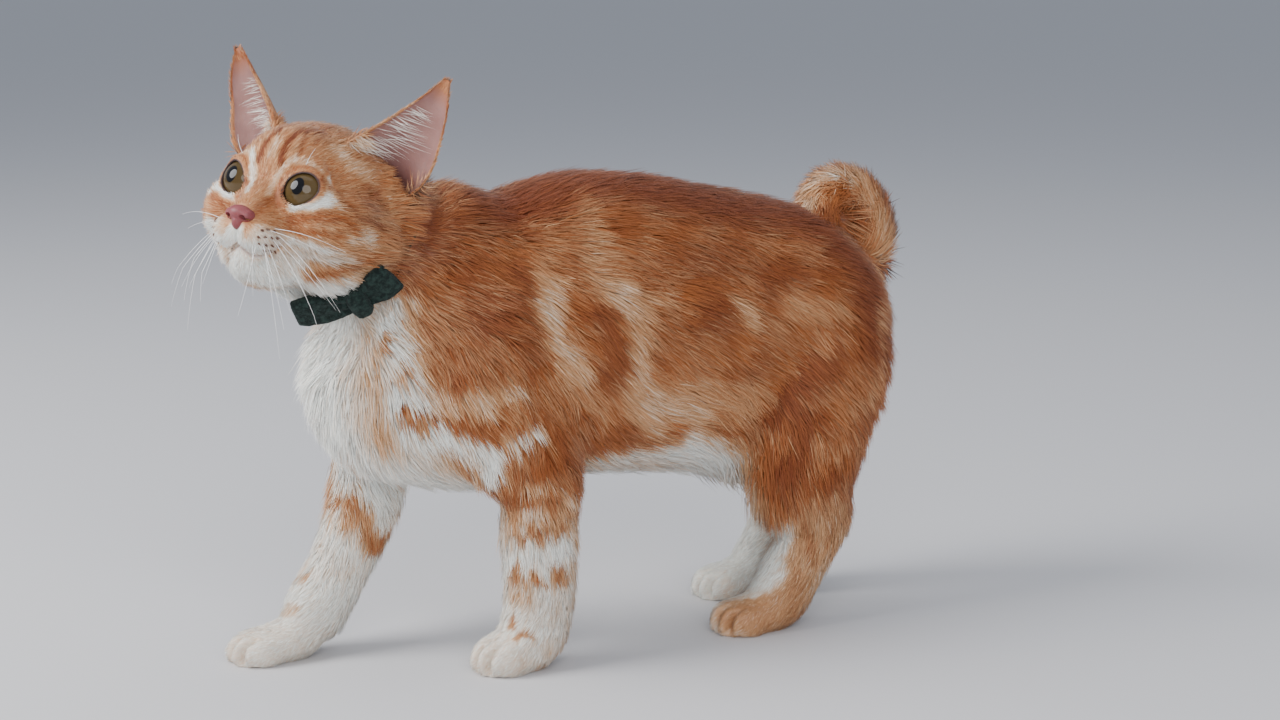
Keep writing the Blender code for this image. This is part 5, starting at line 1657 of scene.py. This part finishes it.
def stage():
    mesh = bpy.data.meshes.new("floor")
    with edited(mesh) as bm:
        bmesh.ops.create_grid(bm, x_segments=1, y_segments=1, size=studio["half"])
    floor = addObject("floor", mesh)
    made, tree = nodeSet("floor")
    surface(tree, {"Base Color": studio["floor"], "Roughness": 0.7})
    floor.data.materials.append(made)
    for name, (place, size, strength) in lamps.items():
        data = bpy.data.lights.new(name, "AREA")
        data.shape, data.size, data.energy = "DISK", size, strength
        lamp = addObject(name, data)
        lamp.location = place
        lamp.rotation_euler = (Vector(studio["aim"]) - Vector(place)).to_track_quat("-Z", "Y").to_euler()
    world = bpy.data.worlds.new("studio")
    world.use_nodes = True
    sky = world.node_tree.nodes["Background"]
    sky.inputs[0].default_value, sky.inputs[1].default_value = studio["sky"], studio["skyPower"]
    bpy.context.scene.world = world


def dressSkin(body, strokes, lipLine):
    points, normals = pointsOf(body), normalsOf(body)
    white, dark = painted(points + normals * coatAt(points, normals)[2][:, None] * 0.8, strokes)
    # painted shade down the grooves between the toes
    groove = betweenToes(points) < 1.3
    white, dark = np.where(groove, white * 0.35, white), np.where(groove, 0.8, dark)
    addColour(body, "pelt", white, dark, 0.5, 0)
    bare = np.maximum(bell(toLine(points, lipLine)[0], 1.5), bareInEars(points, normals))
    # the bare layer's third channel is painted shade in the ears' cups
    addColour(body, "bare", bare, ramp(-lidFigure(points), -1.12, -1.06), shadeInEars(points), 1)
    setMaterial(body, skinMaterial(), "coat_red", "head", "neck", "torso", "ear_left", "ear_right", "tail",
                *[n for n in fleshNodes if "paw" in n or "leg" in n])


# Making
setCamera()
stage()
body = outerBody()
outline = addObject("outline", body.data.copy())
whole = joined("whole", [addObject("outer", outline.data), limb("form_tail", tailPath)])
outerTree = surfaceOf(whole)
removeAll([whole])
strokes = [(tone, radius, strength, np.array(line, float)) for tone, radius, strength, line in ground]
strokes += markings(outerTree, (flank, True, False), (limbs, False, False), (faceMarks, True, True),
                    (farCheek, False, True))
tailStrokes = markings(outerTree, (tailMarks, False, False))
print("outline", len(body.data.vertices), "points,", len(strokes), "strokes")
fineSkin(body)
for side in (1, -1):
    carve(body, earMesh(side), "UNION")
partToes(body)
lipLine = sculptFace(body)
openLids(body)
modify(body, "DECIMATE", ratio=skin["kept"])
body.data.shade_smooth()
print("skin", len(body.data.polygons), "faces")
hair = coatMaterial()
growCoat(body, strokes, tailStrokes, lipLine, hair)
dressSkin(body, strokes, lipLine)
look = eyeMaterial()
eyeball("eye_left", 1, look)
eyeball("eye_right", -1, look)
noseLeather()
hairInEars(hair)
whiskerDots(outerTree)
whiskers()
wool = clothMaterial()
collarBand(outline, wool)
for name in bow["arms"]:
    bowArm(name, wool)
bowKnot(wool)
print("eyes, nose, whiskers, collar and bow")
